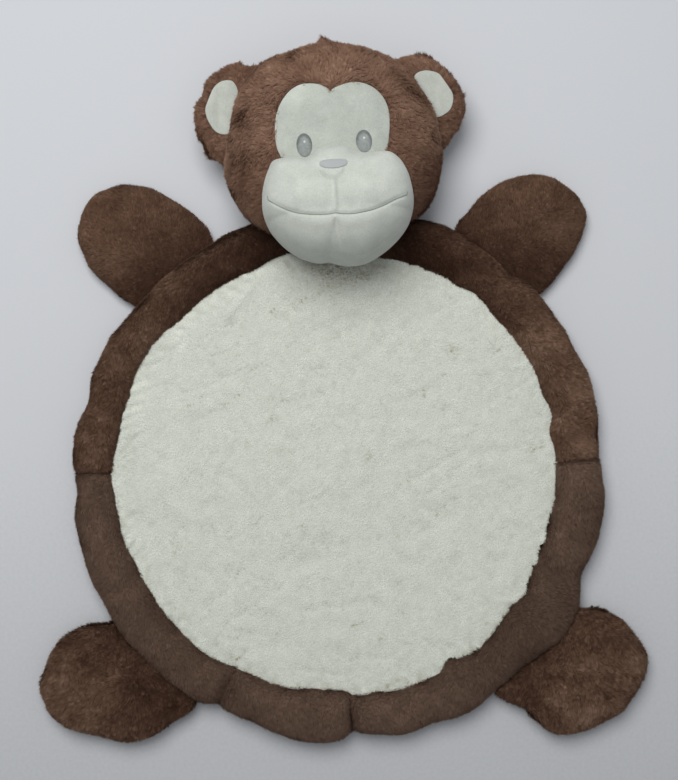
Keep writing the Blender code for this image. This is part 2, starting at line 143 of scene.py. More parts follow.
MUZZLE_CENTRE = (0.0012, 0.2848)
MUZZLE_EDGE = (
    # x_mm, y_mm
    (-58.4, 334.2), (-66.4, 332), (-71.8, 322.9), (-76.4, 309.8), (-78.8, 293), (-78, 278.8), (-73, 265.4),
    (-64.8, 254.6), (-51.6, 242.4), (-35.5, 233.6), (-18, 230), (-8.5, 230.8), (0, 228.6), (11.4, 227),
    (29, 229.2), (45.5, 238), (59.8, 249.6), (70.5, 261.8), (76.8, 272.6), (79.4, 281), (80.4, 290.6),
    (78, 307.3), (72.7, 322.9), (63.6, 335.6), (53.8, 341.4), (45, 341.5), (34, 340), (24.6, 340.6),
    (17, 343.5), (9.6, 346.5), (-2.6, 347.4), (-14, 346.4), (-21.5, 343.2), (-27.6, 337), (-34.9, 334.4),
    (-46, 335.4),
)
MUZZLE_RIM = 0.070
MUZZLE_TOP = 0.160
MUZZLE_BACK = 0.037
MUZZLE_FULLNESS = 2.3
SMILE = (
    # across_mm, up_mm
    (-76, 12), (-70.8, 8.3), (-63, 2.6), (-52, -4), (-41.2, -8.3), (-30, -10.6), (-19.5, -11.6),
    (-10, -11.7), (-4, -11), (3, -12.2), (13.5, -12.9), (24.5, -11.6), (35.7, -9.3), (47.1, -5),
    (58.7, 0.7), (69.4, 5.2), (76, 9),
)

EYES = (
    # name, centre_x, centre_y, half_width, half_height
    ("eye_left", -0.0342, 0.3478, 0.0081, 0.0122),
    ("eye_right", 0.0275, 0.3520, 0.0083, 0.0118),
)
EYE_TURN = math.radians(4.0)
NOSE_CENTRE = (-0.0038, 0.3240)
NOSE_HALF = (0.0143, 0.0050)
GLINT_RADIUS = 0.0013
THREAD_RADIUS = 0.00065

EARS = (
    # side, centre, patch_centre, patch_flat, fold_shift. Their columns of EAR_EDGE are in this order.
    ("left", (-0.1122, 0.3950), (-0.1245, 0.4000), (0.0355, 0.0590), -0.004),
    ("right", (0.1015, 0.4079), (0.1080, 0.4140), (0.0420, 0.0505), 0.0005),
)
EAR_EDGE = (
    # angle_deg, left_mm, right_mm
    (0, 60, 36.6), (15, 60, 35), (30, 60, 35), (45, 60, 35.5), (60, 58, 37.5), (75, 53.5, 41),
    (90, 54, 47), (105, 50.3, 52.5), (120, 47.5, 56), (135, 44.5, 60), (150, 40.5, 60), (165, 42.5, 60),
    (180, 43.2, 60), (195, 43.8, 60), (210, 46.3, 60), (225, 48.5, 60), (240, 54, 60), (255, 56, 60),
    (270, 60, 58), (285, 60, 51.5), (300, 60, 44.2), (315, 60, 41.5), (330, 60, 38.6), (345, 60, 39),
)
EAR_SEAM = 0.046
EAR_RISE = 0.012
EAR_PATCHES = {
    # side: outline as x_mm, y_mm
    "left": (
        (-120.1, 429.4), (-114.6, 428.9), (-108.6, 421.6), (-107.5, 410.4), (-109, 393.7), (-112, 374),
        (-121.9, 370.5), (-129.4, 372.4), (-137.8, 381.7), (-141.9, 390.9), (-142.9, 397.4),
        (-140.6, 405.7), (-137.4, 414.1), (-131.2, 424.3), (-125.7, 428.1),
    ),
    "right": (
        (83.1, 434), (86.8, 437.7), (92.4, 439.6), (102.5, 439.1), (109.1, 436.8), (114.6, 430.3),
        (120.2, 422.4), (124.8, 414), (124.8, 404.7), (120.2, 395.5), (115.5, 392.2), (107.1, 389.4),
        (102, 390.8), (97.5, 400.1), (93.5, 407.5), (89, 416.8), (84.5, 425.2),
    ),
}

BELLY_FOLDS = (
    # from_x_mm, from_y_mm, to_x_mm, to_y_mm, width_mm, rise_mm
    (-85, 221, -122, 178, 5, 2.2), (-122, 178, -157, 144, 6, 1.6), (-95, 214, -135, 165, 3, -1.4),
    (-60, 205, -45, 175, 7, 0.9), (-85, 67, -48, 84, 2.6, -1.3), (-48, 84, -13, 92, 2.6, -1.4),
    (-13, 92, 8, 88, 2.6, -0.8), (-41, -32, -14, -21, 2.4, -1.1), (-14, -21, 41, -26, 2.4, -0.7),
    (-228, -52, -140, -66, 11, -1.4), (-226, -30, -170, 10, 8, 1.1), (-60, -98, 80, -70, 13, -1.1),
    (-41, -150, 41, -138, 3, -1), (-10, -198, 60, -203, 4, -1.1), (60, 190, 120, 215, 6, 0.9),
    (90, 40, 200, 62, 8, 0.8), (130, 20, 225, 34, 6, -0.8), (10, 30, 120, 52, 8, 0.7),
    (70, -60, 190, -20, 12, -0.9), (-190, 60, -120, 95, 8, 0.8), (-150, -120, -70, -150, 12, 0.9),
    (-217, 53, -238, 33, 3, 1.1), (-218, 46, -240, 24, 2.4, -1.2), (-46, 121, -19, 117, 2.2, -1),
    (-19, 117, -2, 110, 2.2, -1), (-10, 131, 4, 134, 2.2, -0.8), (-116, 167, -106, 175, 2, -0.9),
    (-72, 156, -67, 166, 2, -0.8), (2, 73, 8, 60, 2, -0.7), (-131, 47, -120, 52, 2, -0.8),
    (-49, 21, -43, 31, 2, -0.8), (14, 160, 32, 170, 3, -1), (133, 94, 143, 97, 2, -1),
    (16, 52, 87, 53, 2.6, 0.7), (69, 83, 89, 90, 3, -0.8), (35, -186, 33, -232, 1.8, -0.8),
    (-124, -67, -116, -58, 2.2, -0.9), (-121, -126, -115, -117, 2.2, -0.9),
    (-41, -215, 14, -221, 2.6, -0.8), (124, 52, 155, 55, 3, -0.9),
)
BELLY_CREASES = 60

# How a pile is made: its blades, how they lean and gather into locks, and how their shading varies
Coat = namedtuple("Coat", "count length width lift clump pull turn contrast softness")
RING_COAT = Coat(75000, 0.0052, 0.00105, 0.42, 10, 0.40, 0.75, 0.82, 0.80)
LOW_RING_COAT = RING_COAT._replace(contrast=0.52)
LIMB_COATS = {
    "arm": Coat(38000, 0.0048, 0.00105, 0.40, 9, 0.35, 0.7, 0.70, 0.80),
    "foot": Coat(46000, 0.0062, 0.00105, 0.52, 14, 0.45, 0.9, 0.95, 0.80),
}
HEAD_COAT = Coat(112000, 0.0060, 0.00108, 0.52, 13, 0.50, 1.0, 0.62, 0.82)
EAR_COAT = Coat(18000, 0.0052, 0.00105, 0.50, 12, 0.45, 0.9, 0.80, 0.80)
BELLY_COAT = Coat(156000, 0.0026, 0.00125, 0.24, 8, 0.25, 0.8, 0.26, 0.93)
SEEDS = {"ring": 100, "limb": 400, "head": 500, "ear": 600, "belly": 700, "creases": 720}

GRIDS = {
    # form: spokes, rings on its top, rings on its bottom
    "limb": (120, 26, 14),
    "head": (132, 30, 18),
    "ear": (96, 20, 12),
    "ear_patch": (90, 18, 6),
    "belly": (400, 60, 4),
    "face": (180, 36, 4),
    "muzzle": (236, 58, 14),
    "stitching": (64, 12, 3),
    "glint": (24, 5, 3),
}
PANEL_STEPS = 132
PANEL_SIDES = 44


# Numbers


def smooth(value):
    """0 below 0 and 1 above 1, with an even curve between."""
    value = np.clip(value, 0.0, 1.0)
    return value * value * (3 - 2 * value)


def bell(distance, width):
    """1 at no distance, fading to nothing at about twice the width."""
    return np.exp(-((distance / width) ** 2))


def dome(share, fullness):
    """A crown's height, from 1 in its middle to 0 at its rim, and squarer when it is fuller."""
    return np.clip(1.0 - np.clip(share, 0, 1) ** fullness, 0, 1) ** (1.0 / fullness)


def squared(value, fullness):
    """A sine or cosine changed to that of a fuller round."""
    return np.sign(value) * np.abs(value) ** (2 / fullness)


def soft_max(a, b, width):
    """The larger of two heights, with the corner between them rounded over width."""
    h = np.clip(0.5 + 0.5 * (a - b) / width, 0, 1)
    return b + (a - b) * h + width * h * (1 - h)


def unit(v):
    return v / np.maximum(np.linalg.norm(v, axis=1), 1e-9)[:, None]


def flat(x, y, z=0.0):
    """Places side by side as rows of three numbers."""
    return np.stack((x, y, np.zeros_like(x) + z), axis=-1)


def polar(centre, x, y):
    """The direction of places from a centre, and their distance from it."""
    return np.arctan2(y - centre[1], x - centre[0]), np.hypot(x - centre[0], y - centre[1])


def past(centre, reach, x, y):
    """How far places are outside the outline that has this reach about this centre."""
    angle, distance = polar(centre, x, y)
    return distance - reach(angle)


def degrees_from(angle, place):
    """How many degrees an angle in radians is past a place in degrees, from -180 to 180."""
    return (np.degrees(angle) - place + 180) % 360 - 180


def curve(where, value, wanted):
    """A smooth curve through knots, read at the wanted places."""
    slope = np.gradient(value, where)
    i = np.clip(np.searchsorted(where, wanted, side="right") - 1, 0, len(where) - 2)
    span = where[i + 1] - where[i]
    s = np.clip((wanted - where[i]) / span, 0, 1)
    a, b = slope[i] * span, slope[i + 1] * span
    rise = value[i + 1] - value[i]
    return (((a + b - 2 * rise) * s + 3 * rise - 2 * a - b) * s + a) * s + value[i]


def read_round(rows, column, angle):
    """A column of a table in millimetres, by angle in degrees, read in metres all the way round."""
    knots = sorted((row[0] % 360, row[column]) for row in rows)
    where = np.array([k[0] for k in knots])
    value = np.array([k[1] for k in knots], float)
    where = np.concatenate((where[-3:] - 360, where, where[:3] + 360))
    value = np.concatenate((value[-3:], value, value[:3]))
    return curve(where, value, np.degrees(angle) % 360) * MM


def polar_rows(points, centre):
    """Outline points in millimetres as rows of angle and reach about a centre in metres."""
    rows = []
    for x, y in points:
        dx, dy = x - centre[0] / MM, y - centre[1] / MM
        rows.append((math.degrees(math.atan2(dy, dx)), math.hypot(dx, dy)))
    return rows


def off_line(x, y, start, end):
    """How far places are from a straight line between two others."""
    run = np.subtract(end, start)
    share = ((x - start[0]) * run[0] + (y - start[1]) * run[1]) / float(run @ run)
    held = np.clip(share, 0, 1)
    return np.hypot(x - start[0] - held * run[0], y - start[1] - held * run[1])


def hashed(cells, seed):
    """A repeatable number from 0 to 1 for each whole-numbered cell."""
    mixed = cells[..., 0] * 374761393 + cells[..., 1] * 668265263 + cells[..., 2] * 2147483647
    mixed = (mixed + seed * 1274126177) & 0xFFFFFFFF
    mixed = ((mixed ^ (mixed >> 13)) * 1103515245) & 0xFFFFFFFF
    mixed = mixed ^ (mixed >> 16)
    return (mixed & 0xFFFFFF) / 0xFFFFFF


def noise(points, cell, seed):
    """Soft noise from -1 to 1 over points, with lumps about as large as cell."""
    p = np.asarray(points, float) / cell + 1000.0
    low = np.floor(p).astype(np.int64)
    f = p - low
    f = f * f * (3 - 2 * f)
    total = np.zeros(len(p))
    for dx in (0, 1):
        for dy in (0, 1):
            for dz in (0, 1):
                share = (f[:, 0] if dx else 1 - f[:, 0]) * (f[:, 1] if dy else 1 - f[:, 1])
                share = share * (f[:, 2] if dz else 1 - f[:, 2])
                total += share * hashed(low + np.array((dx, dy, dz)), seed)
    return total * 2 - 1


# Outlines and surfaces of the forms

FACE_ROWS = polar_rows(FACE_EDGE, FACE_CENTRE)
MUZZLE_ROWS = polar_rows(MUZZLE_EDGE, MUZZLE_CENTRE)


def ring_outer(angle):
    return read_round(RING_EDGE, 1, angle)


def ring_inner(angle):
    return read_round(RING_EDGE, 2, angle)


def past_ring(x, y):
    return past((0.0, 0.0), ring_outer, x, y)


def head_reach(angle):
    return read_round(HEAD_EDGE, 1, angle) - PILE


def face_reach(angle):
    return read_round(FACE_ROWS, 1, angle)


def muzzle_reach(angle):
    return read_round(MUZZLE_ROWS, 1, angle)


def ring_dips(angle, column):
    """How much the ring's seams draw in a measure of RING_SEAMS."""
    total = np.zeros_like(angle)
    for row in RING_SEAMS:
        total = total + row[column] * MM * bell(degrees_from(angle, row[0]), row[1])
    return total


def head_share(x, y, grown=0.0):
    """How far places are from the head's centre, as a share of its reach."""
    angle, distance = polar(HEAD_CENTRE, x, y)
    return distance / (head_reach(angle) + grown)


def head_top(x, y):
    """Height of the head's cloth, with a hollow between the eyes."""
    height = HEAD_SEAM + (HEAD_TOP - HEAD_SEAM) * dome(head_share(x, y), 2.5)
    hollow = 0.0038 * bell(x + 0.0030 + 0.063 * (y - 0.35), 0.030) * bell(y - 0.368, 0.026)
    return height - hollow + 0.0012 * noise(flat(x, y), 0.045, 5) * dome(head_share(x, y), 2.0)


def face_height(x, y):
    """The face panel's upper side, drawn down at its sewn edge."""
    angle, distance = polar(FACE_CENTRE, x, y)
    puff = 0.0019 * dome(distance / face_reach(angle), 5.0)
    fold = 0.0008 * noise(flat(x, y), 0.018, 21)
    return head_top(x, y) + FACE_RISE + FACE_THICK + puff + fold


def mouth_line(across):
    """How far the smile lies above the muzzle's centre, at a distance across from its middle."""
    where, level = np.array(SMILE, float).T * MM
    return curve(where, level, across)


def muzzle_frame(x, y):
    """Distance right of and above the muzzle's centre, turned with the head."""
    dx, dy = x - MUZZLE_CENTRE[0], y - MUZZLE_CENTRE[1]
    return dx * math.cos(TILT) + dy * math.sin(TILT), dy * math.cos(TILT) - dx * math.sin(TILT)


def muzzle_rim(angle):
    """Height of the muzzle's rim: low at the chin, and on the head's front where it lies on that."""
    x = MUZZLE_CENTRE[0] + muzzle_reach(angle) * np.cos(angle)
    y = MUZZLE_CENTRE[1] + muzzle_reach(angle) * np.sin(angle)
    return soft_max(np.full_like(x, MUZZLE_RIM), head_top(x, y) - 0.0005, 0.006)


def beside_seam(across, up):
    """Distance right of the muzzle's upright seam, which runs a little to the right below the smile."""
    return across - np.where(up > -0.012, -0.0045, -0.0040 - 0.07 * (up + 0.012))


def nose_bow(across, up, width):
    """1 on the bow sewn under the nose, and 0 away from it."""
    bowl = up - 0.0243 - 0.0085 * ((across + 0.0040) / 0.0125) ** 2
    return bell(bowl, width) * smooth((0.0150 - np.abs(across + 0.004)) / 0.004)


def muzzle_height(x, y):
    """The muzzle's upper side, with the smile, upright seam, nose's bow and chin's dart sewn in."""
    angle, distance = polar(MUZZLE_CENTRE, x, y)
    share = distance / muzzle_reach(angle)
    crown = dome(share, MUZZLE_FULLNESS + 0.55 * np.cos(angle) ** 2)
    rim = muzzle_rim(angle)
    across, up = muzzle_frame(x, y)
    smile = up - mouth_line(across)
    at_smile = bell(smile, 0.0016) * smooth((0.0745 - np.abs(across)) / 0.010)
    lip = bell(smile + 0.0075, 0.0060) * smooth((0.062 - np.abs(across)) / 0.03)
    middle = bell(smile - 0.0070, 0.0060) * bell(across + 0.002, 0.035)
    aside = beside_seam(across, up)
    upright = smooth((0.0270 - up) / 0.006) * smooth((up + 0.010) / 0.004)
    ridge = bell(aside, 0.0022) * upright
    beside = bell(np.abs(aside) - 0.0050, 0.0024) * upright
    chin = bell(aside, 0.0026) * smooth((-0.014 - up) / 0.006)
    hem = bell(share - 0.905, 0.018) * smooth((-0.030 - up) / 0.008)
    cheeks = bell(np.abs(across) - 0.036, 0.022) * bell(up - 0.012, 0.022)
    height = rim + (MUZZLE_TOP - rim) * crown
    height = height - 0.0019 * at_smile * np.minimum(1.0, 2 * crown) + 0.0014 * lip * crown - 0.0006 * middle
    height = height + 0.0007 * ridge - 0.0006 * beside - 0.0022 * chin * crown
    height = height - 0.0015 * nose_bow(across, up, 0.0024) - 0.0012 * hem + 0.0022 * cheeks
    return height + 0.0006 * noise(flat(x, y), 0.016, 31) * crown


def face_and_muzzle(x, y):
    """The muzzle's upper side where it rises out of the face."""
    return soft_max(muzzle_height(x, y), face_height(x, y) + 0.0004, 0.0060)


def face_surface(x, y):
    """The upper side of whatever cloth is at a place on the face."""
    on_muzzle = past(MUZZLE_CENTRE, muzzle_reach, x, y) < 0
    return np.where(on_muzzle, face_and_muzzle(x, y), face_height(x, y))


def cut_short(centre, angle, reach, blocked):
    """The reach of each ray from a centre, cut short at the first place where blocked(x, y) is true."""
    steps = np.linspace(0.0, 1.0, RAY_STEPS)[None, :] * reach[:, None]
    inside = blocked(centre[0] + steps * np.cos(angle)[:, None], centre[1] + steps * np.sin(angle)[:, None])
    first = np.where(inside.any(axis=1), inside.argmax(axis=1), RAY_STEPS - 1)
    return steps[np.arange(len(angle)), first]


# Meshes


def link_new(name, data):
    obj = bpy.data.objects.new(name, data)
    bpy.context.scene.collection.objects.link(obj)
    return obj


def new_object(name, verts, faces, material, smooth_shaded=True):
    mesh = bpy.data.meshes.new(name)
    mesh.from_pydata([tuple(v) for v in verts], [], faces)
    mesh.materials.append(material)
    if smooth_shaded:
        mesh.shade_smooth()
    return link_new(name, mesh)


def filled(name, centre, reach, top, bottom, grid, material):
    """A closed form: reach(angle) is its outline, and top and bottom(x, y, share, angle) are its two sides.

    grid says how many spokes it has, and how many rings on its top and on its bottom."""
    spokes, top_rings, bottom_rings = grid
    angle = np.linspace(0, 2 * math.pi, spokes, endpoint=False)
    edge = reach(angle)
    rings = []
    for side, count in ((top, top_rings), (bottom, bottom_rings)):
        shares = np.sin(np.linspace(0, math.pi / 2, count + 1))[1:]
        if side is bottom:
            shares = shares[-2::-1]
        for share in shares:
            x = centre[0] + share * edge * np.cos(angle)
            y = centre[1] + share * edge * np.sin(angle)
            rings.append(flat(x, y, side(x, y, np.full(spokes, share), angle)))
    middle = np.array([centre[0]]), np.array([centre[1]]), np.zeros(1), np.zeros(1)
    poles = [flat(middle[0], middle[1], side(*middle)) for side in (top, bottom)]
    verts = np.concatenate([poles[0], *rings, poles[1]])
    last = len(verts) - 1
    end = 1 + (len(rings) - 1) * spokes
    faces = []
    for i in range(spokes):
        j = (i + 1) % spokes
        faces.append((0, 1 + i, 1 + j))
        for a in range(1, end, spokes):
            faces.append((a + i, a + spokes + i, a + spokes + j, a + j))
        faces.append((last, end + j, end + i))
    return new_object(name, verts, faces, material)


def arrays_of(obj):
    """An object's points, their normals, and its triangles."""
    mesh = obj.data
    verts = np.empty(len(mesh.vertices) * 3)
    mesh.vertices.foreach_get("co", verts)
    normals = np.empty(len(mesh.vertices) * 3)
    mesh.vertex_normals.foreach_get("vector", normals)
    mesh.calc_loop_triangles()
    triangles = np.empty(len(mesh.loop_triangles) * 3, np.int64)
    mesh.loop_triangles.foreach_get("vertices", triangles)
    return verts.reshape(-1, 3), normals.reshape(-1, 3), triangles.reshape(-1, 3)


def write_tone(mesh, values):
    """Stores how light each point is, from 0 to 1, for its material to read."""
    values = np.broadcast_to(np.clip(values, 0, 1), len(mesh.vertices))
    mesh.attributes.new("tone", "FLOAT", "POINT").data.foreach_set("value", values.astype(np.float32))


def set_tone(obj, tone_of):
    write_tone(obj.data, tone_of(arrays_of(obj)[0]))


def lumpy(obj, parts):
    """Pushes a form in and out along its normals. parts are rows of cell, depth and seed."""
    verts, normals, _ = arrays_of(obj)
    for cell, depth, seed in parts:
        verts = verts + normals * (depth * noise(verts, cell, seed))[:, None]
    verts[:, 2] = np.maximum(verts[:, 2], 0.0002)
    obj.data.vertices.foreach_set("co", verts.ravel())
    obj.data.update()


def flat_area(reach):
    """The area inside an outline, in square metres."""
    steps = 720
    angle = np.linspace(0, 2 * math.pi, steps, endpoint=False)
    return float(np.sum(reach(angle) ** 2) * math.pi / steps)


def scattered(base, count, keep, rng):
    """Places spread over a form, with its normals there. keep(places, normals) says how thickly."""
    verts, normals, triangles = arrays_of(base)
    corners = verts[triangles]
    area = np.linalg.norm(np.cross(corners[:, 1] - corners[:, 0], corners[:, 2] - corners[:, 0]), axis=1)
    area = area * keep(corners.mean(axis=1), unit(normals[triangles].mean(axis=1)))
    steps = np.cumsum(area)
    chosen = np.searchsorted(steps, (np.arange(count) + rng.random(count)) / count * steps[-1])
    chosen = np.minimum(chosen, len(triangles) - 1)
    u, v = rng.random(count), rng.random(count)
    over = u + v > 1
    u[over], v[over] = 1 - u[over], 1 - v[over]
    weights = np.stack((1 - u - v, u, v), axis=1)[:, :, None]
    return (corners[chosen] * weights).sum(axis=1), unit((normals[triangles[chosen]] * weights).sum(axis=1))


def nearest_of(places, chosen):
    """For each place, the number of the nearest of the chosen ones."""
    tree = KDTree(len(chosen))
    for i, place in enumerate(chosen):
        tree.insert(places[place], i)
    tree.balance()
    return np.array([tree.find(place)[1] for place in places])


def blade_mesh(name, corners):
    """A mesh with one triangle for each three corners."""
    mesh = bpy.data.meshes.new(name)
    mesh.vertices.add(len(corners))
    mesh.vertices.foreach_set("co", corners.ravel())
    mesh.loops.add(len(corners))
    mesh.loops.foreach_set("vertex_index", np.arange(len(corners), dtype=np.int32))
    mesh.polygons.add(len(corners) // 3)
    mesh.polygons.foreach_set("loop_start", np.arange(0, len(corners), 3, dtype=np.int32))
    mesh.update(calc_edges=True)
    return mesh


def pile(name, base, material, coat, nap, seed, keep, tone_at, size_at=None):
    """Fibres on a form: each is one blade, leaning with the nap and gathered with its neighbours into locks.

    nap(places) is which way they lean, and size_at and tone_at are how long and how light they are."""
    rng = np.random.default_rng(seed)
    count, length, width, lift, clump, pull, turn, contrast, softness = coat
    root, normal = scattered(base, count, keep, rng)
    lean = nap(root)
    lean = unit(lean - normal * (lean * normal).sum(axis=1)[:, None])
    side = np.cross(normal, lean)
    swing = turn * 1.6 * noise(root, 0.024, seed + 1) + turn * 0.5 * noise(root, 0.009, seed + 4)
    swing = swing + turn * 0.50 * rng.normal(size=count)
    lean = lean * np.cos(swing)[:, None] + side * np.sin(swing)[:, None]
    rise = lift * (1.0 + 0.45 * noise(root, 0.013, seed + 2) + 0.28 * rng.normal(size=count))
    rise = np.clip(rise, 0.06, 1.2)
    along = lean * np.cos(rise)[:, None] + normal * np.sin(rise)[:, None]
    size = length * (1.0 + 0.25 * noise(root, 0.016, seed + 3) + 0.18 * rng.normal(size=count))
    size = np.clip(size, 0.45 * length, 1.6 * length)
    if size_at is not None:
        size = size * size_at(root)
    tip = root + along * size[:, None]
    locks = rng.choice(count, max(1, count // clump), replace=False)
    lock_of = nearest_of(root, locks)
    gather = pull * (0.6 + 0.8 * rng.random(count))
    tip = tip + (tip[locks[lock_of]] - tip) * gather[:, None]
    along = unit(tip - root)
    across = unit(np.cross(along, normal)) * (width / 2) * (0.7 + 0.6 * rng.random(count))[:, None]
    root = root - normal * 0.0004
    tip[:, 2] = np.maximum(tip[:, 2], 0.0006)
    root[:, 2] = np.maximum(root[:, 2], LOWEST)
    mesh = blade_mesh(name, np.stack((root - across, root + across, tip), axis=1).reshape(-1, 3))
    tone = 0.16 * noise(root, 0.030, seed + 5) + 0.12 * noise(root, 0.011, seed + 6)
    tone = tone + 0.10 * rng.normal(size=len(locks))[lock_of] + 0.09 * rng.normal(size=count)
    # darker at the roots and lighter at the tips; the lighter tips are partly a painted sheen
    tones = np.stack((tone - 0.22, tone - 0.22, tone + 0.18), axis=1) * contrast
    write_tone(mesh, (tones + (0.5 + tone_at(root, normal)[:, None])).ravel())
    mesh.materials.append(material)
    mesh.shade_smooth()
    face = unit(np.cross(2 * across, along))
    lit = unit(np.column_stack((normal[:, :2], np.maximum(normal[:, 2], 0.08) + 0.28)))
    shading = unit(softness * lit + (1 - softness) * face)
    mesh.normals_split_custom_set_from_vertices(np.repeat(shading, 3, axis=0).tolist())
    return link_new(name, mesh)


def tube(name, path, radius, sides, material):
    """A thread of round section through the points of a path."""
    ahead = unit(np.gradient(path, axis=0))
    across = unit(np.cross(ahead, np.tile(np.array((0.0, 0.0, 1.0)), (len(path), 1))))
    upward = np.cross(across, ahead)
    verts = []
    for k in range(sides):
        turn = 2 * math.pi * k / sides
        verts.append(path + radius * (math.cos(turn) * across + math.sin(turn) * upward))
    verts = np.stack(verts, axis=1).reshape(-1, 3)
    faces = []
    for i in range(len(path) - 1):
        for k in range(sides):
            n = (k + 1) % sides
            faces.append((i * sides + k, i * sides + n, (i + 1) * sides + n, (i + 1) * sides + k))
    faces.append(tuple(range(sides - 1, -1, -1)))
    faces.append(tuple((len(path) - 1) * sides + k for k in range(sides)))
    return new_object(name, verts, faces, material)


# Materials


class Look:
    """A material in the making, with short ways to add its nodes."""

    def __init__(self, name, roughness, sheen=0.0, specular=0.12):
        self.material = bpy.data.materials.new(name)
        self.material.use_nodes = True
        self.nodes = self.material.node_tree.nodes
        self.links = self.material.node_tree.links
        self.shader = self.nodes["Principled BSDF"]
        self.shader.inputs["Roughness"].default_value = roughness
        self.shader.inputs["Specular IOR Level"].default_value = specular
        self.shader.inputs["Sheen Weight"].default_value = sheen
        self.shader.inputs["Sheen Roughness"].default_value = 0.5

    def add(self, kind, values, operation=None):
        """A new node, with the values of some of its inputs."""
        node = self.nodes.new(kind)
        if operation:
            node.operation = operation
        for socket, value in values.items():
            node.inputs[socket].default_value = value
        return node

    def place(self):
        return self.nodes.new("ShaderNodeTexCoord").outputs["Object"]

    def tone(self):
        """The tone stored in the mesh."""
        node = self.nodes.new("ShaderNodeAttribute")
        node.attribute_name = "tone"
        return node.outputs["Fac"]

    def grain(self, scale, detail, rough=0.55):
        node = self.add("ShaderNodeTexNoise", {"Scale": scale, "Detail": detail, "Roughness": rough})
        self.links.new(self.place(), node.inputs["Vector"])
        return node.outputs["Fac"]

    def total(self, sources, start=0.0):
        """The sum of start and the sources, each times its weight."""
        added = None
        for source, weight in sources:
            node = self.add("ShaderNodeMath", {1: weight, 2: start}, "MULTIPLY_ADD")
            self.links.new(source, node.inputs[0])
            if added is not None:
                self.links.new(added, node.inputs[2])
            added = node.outputs[0]
        return added

    def colour(self, source, stops):
        """Colours the shader by where source lies among the stops."""
        node = self.nodes.new("ShaderNodeValToRGB")
        elements = node.color_ramp.elements
        while len(elements) < len(stops):
            elements.new(0.5)
        for element, (place, colour) in zip(elements, stops):
            element.position = place
            element.color = (*colour, 1.0)
        self.links.new(source, node.inputs["Fac"])
        self.links.new(node.outputs["Color"], self.shader.inputs["Base Color"])
        return node.outputs["Color"]

    def bump(self, height, depth):
        node = self.add("ShaderNodeBump", {"Strength": 1.0, "Distance": depth})
        self.links.new(height, node.inputs["Height"])
        self.links.new(node.outputs["Normal"], self.shader.inputs["Normal"])


def fibre_material(name, stops, through):
    """Pile, coloured from its tone: dark at the roots and lighter at the tips, partly the fibres' own colour
    and partly a painted sheen, and varied from lock to lock.

    Light passes through the thin fibres in the share through, so the pile is as light from every angle."""
    look = Look(name, 0.9, specular=0.0)
    colour = look.colour(look.tone(), stops)
    passed = look.add("ShaderNodeVectorMath", {"Scale": through}, "SCALE")
    translucent = look.add("ShaderNodeBsdfTranslucent", {})
    both = look.add("ShaderNodeAddShader", {})
    look.links.new(colour, passed.inputs[0])
    look.links.new(passed.outputs["Vector"], translucent.inputs["Color"])
    look.links.new(look.shader.outputs["BSDF"], both.inputs[0])
    look.links.new(translucent.outputs["BSDF"], both.inputs[1])
    look.links.new(both.outputs["Shader"], look.nodes["Material Output"].inputs["Surface"])
    return look.material


def backing_material(name, dark, light, scale):
    """The cloth under the pile."""
    look = Look(name, 0.95)
    grain = look.grain(scale, 4.0)
    look.colour(grain, ((0.3, dark), (0.7, light)))
    look.bump(grain, 0.0012)
    return look.material


def velour_material(name, dark, light):
    """Smooth short velour: a fine grain, faint patches, and each piece's stored tone, which holds painted
    light and shade as well as its own lightness.
    """
    look = Look(name, 0.8, 0.2)
    patches = look.grain(60.0, 4.0)
    fine = look.grain(700.0, 3.0, 0.75)
    mix = look.total(((patches, 0.45), (fine, 0.65), (look.tone(), 1.0)), -0.55)
    look.colour(mix, ((0.0, dark), (1.0, light)))
    look.bump(fine, 0.00035)
    return look.material


def thread_material(name, dark, light, axis, period):
    """Satin stitch: fine parallel threads, with a painted highlight along the top of each, on top of the
    patch's own tone.
    """
    look = Look(name, 0.45, 0.1, 0.35)
    spacing = {"Scale": 2 / (math.tau * period), "Distortion": 0.6, "Detail": 2.0, "Detail Scale": 40.0}
    wave = look.add("ShaderNodeTexWave", spacing)
    wave.bands_direction = axis
    look.links.new(look.place(), wave.inputs["Vector"])
    painted_crown_highlights = look.total(((look.tone(), 1.0), (wave.outputs["Fac"], 0.22)))
    look.colour(painted_crown_highlights, ((0.0, dark), (1.0, light)))
    look.bump(wave.outputs["Fac"], 0.0004)
    return look.material


FUR_STOPS = (
    (0.0, (0.0265, 0.0130, 0.0085)),
    (0.35, (0.0675, 0.0373, 0.0248)),
    (0.65, (0.1182, 0.0711, 0.0482)),
    (1.0, (0.2277, 0.1524, 0.1092)),
)
# Painted light: a greyer, lighter copy of the brown pile's colours, for the lower ring panels.
LOW_FUR_STOPS = (
    (0.0, (0.0295, 0.0177, 0.0130)),
    (0.35, (0.0722, 0.0467, 0.0339)),
    (0.65, (0.1215, 0.0812, 0.0600)),
    (1.0, (0.2240, 0.1590, 0.1215)),
)
HEAD_STOPS = (
    (0.0, (0.0390, 0.0190, 0.0124)),
    (0.35, (0.1170, 0.0667, 0.0462)),
    (0.65, (0.1989, 0.1236, 0.0861)),
    (1.0, (0.3393, 0.2348, 0.1764)),
)
CREAM_STOPS = (
    # the darkest, warm stop colours the painted shadow under the chin
    (0.0, (0.256, 0.222, 0.126)),
    (0.32, (0.490, 0.502, 0.448)),
    (0.65, (0.572, 0.595, 0.540)),
    (1.0, (0.626, 0.645, 0.598)),
)
fur_material = fibre_material("brown_pile", FUR_STOPS, 0.8)
low_fur_material = fibre_material("brown_pile_low", LOW_FUR_STOPS, 0.8)
head_fur_material = fibre_material("head_pile", HEAD_STOPS, 0.8)
cream_pile_material = fibre_material("cream_pile", CREAM_STOPS, 0.22)
skin_material = backing_material("brown_backing", (0.056, 0.031, 0.022), (0.098, 0.058, 0.041), 260.0)
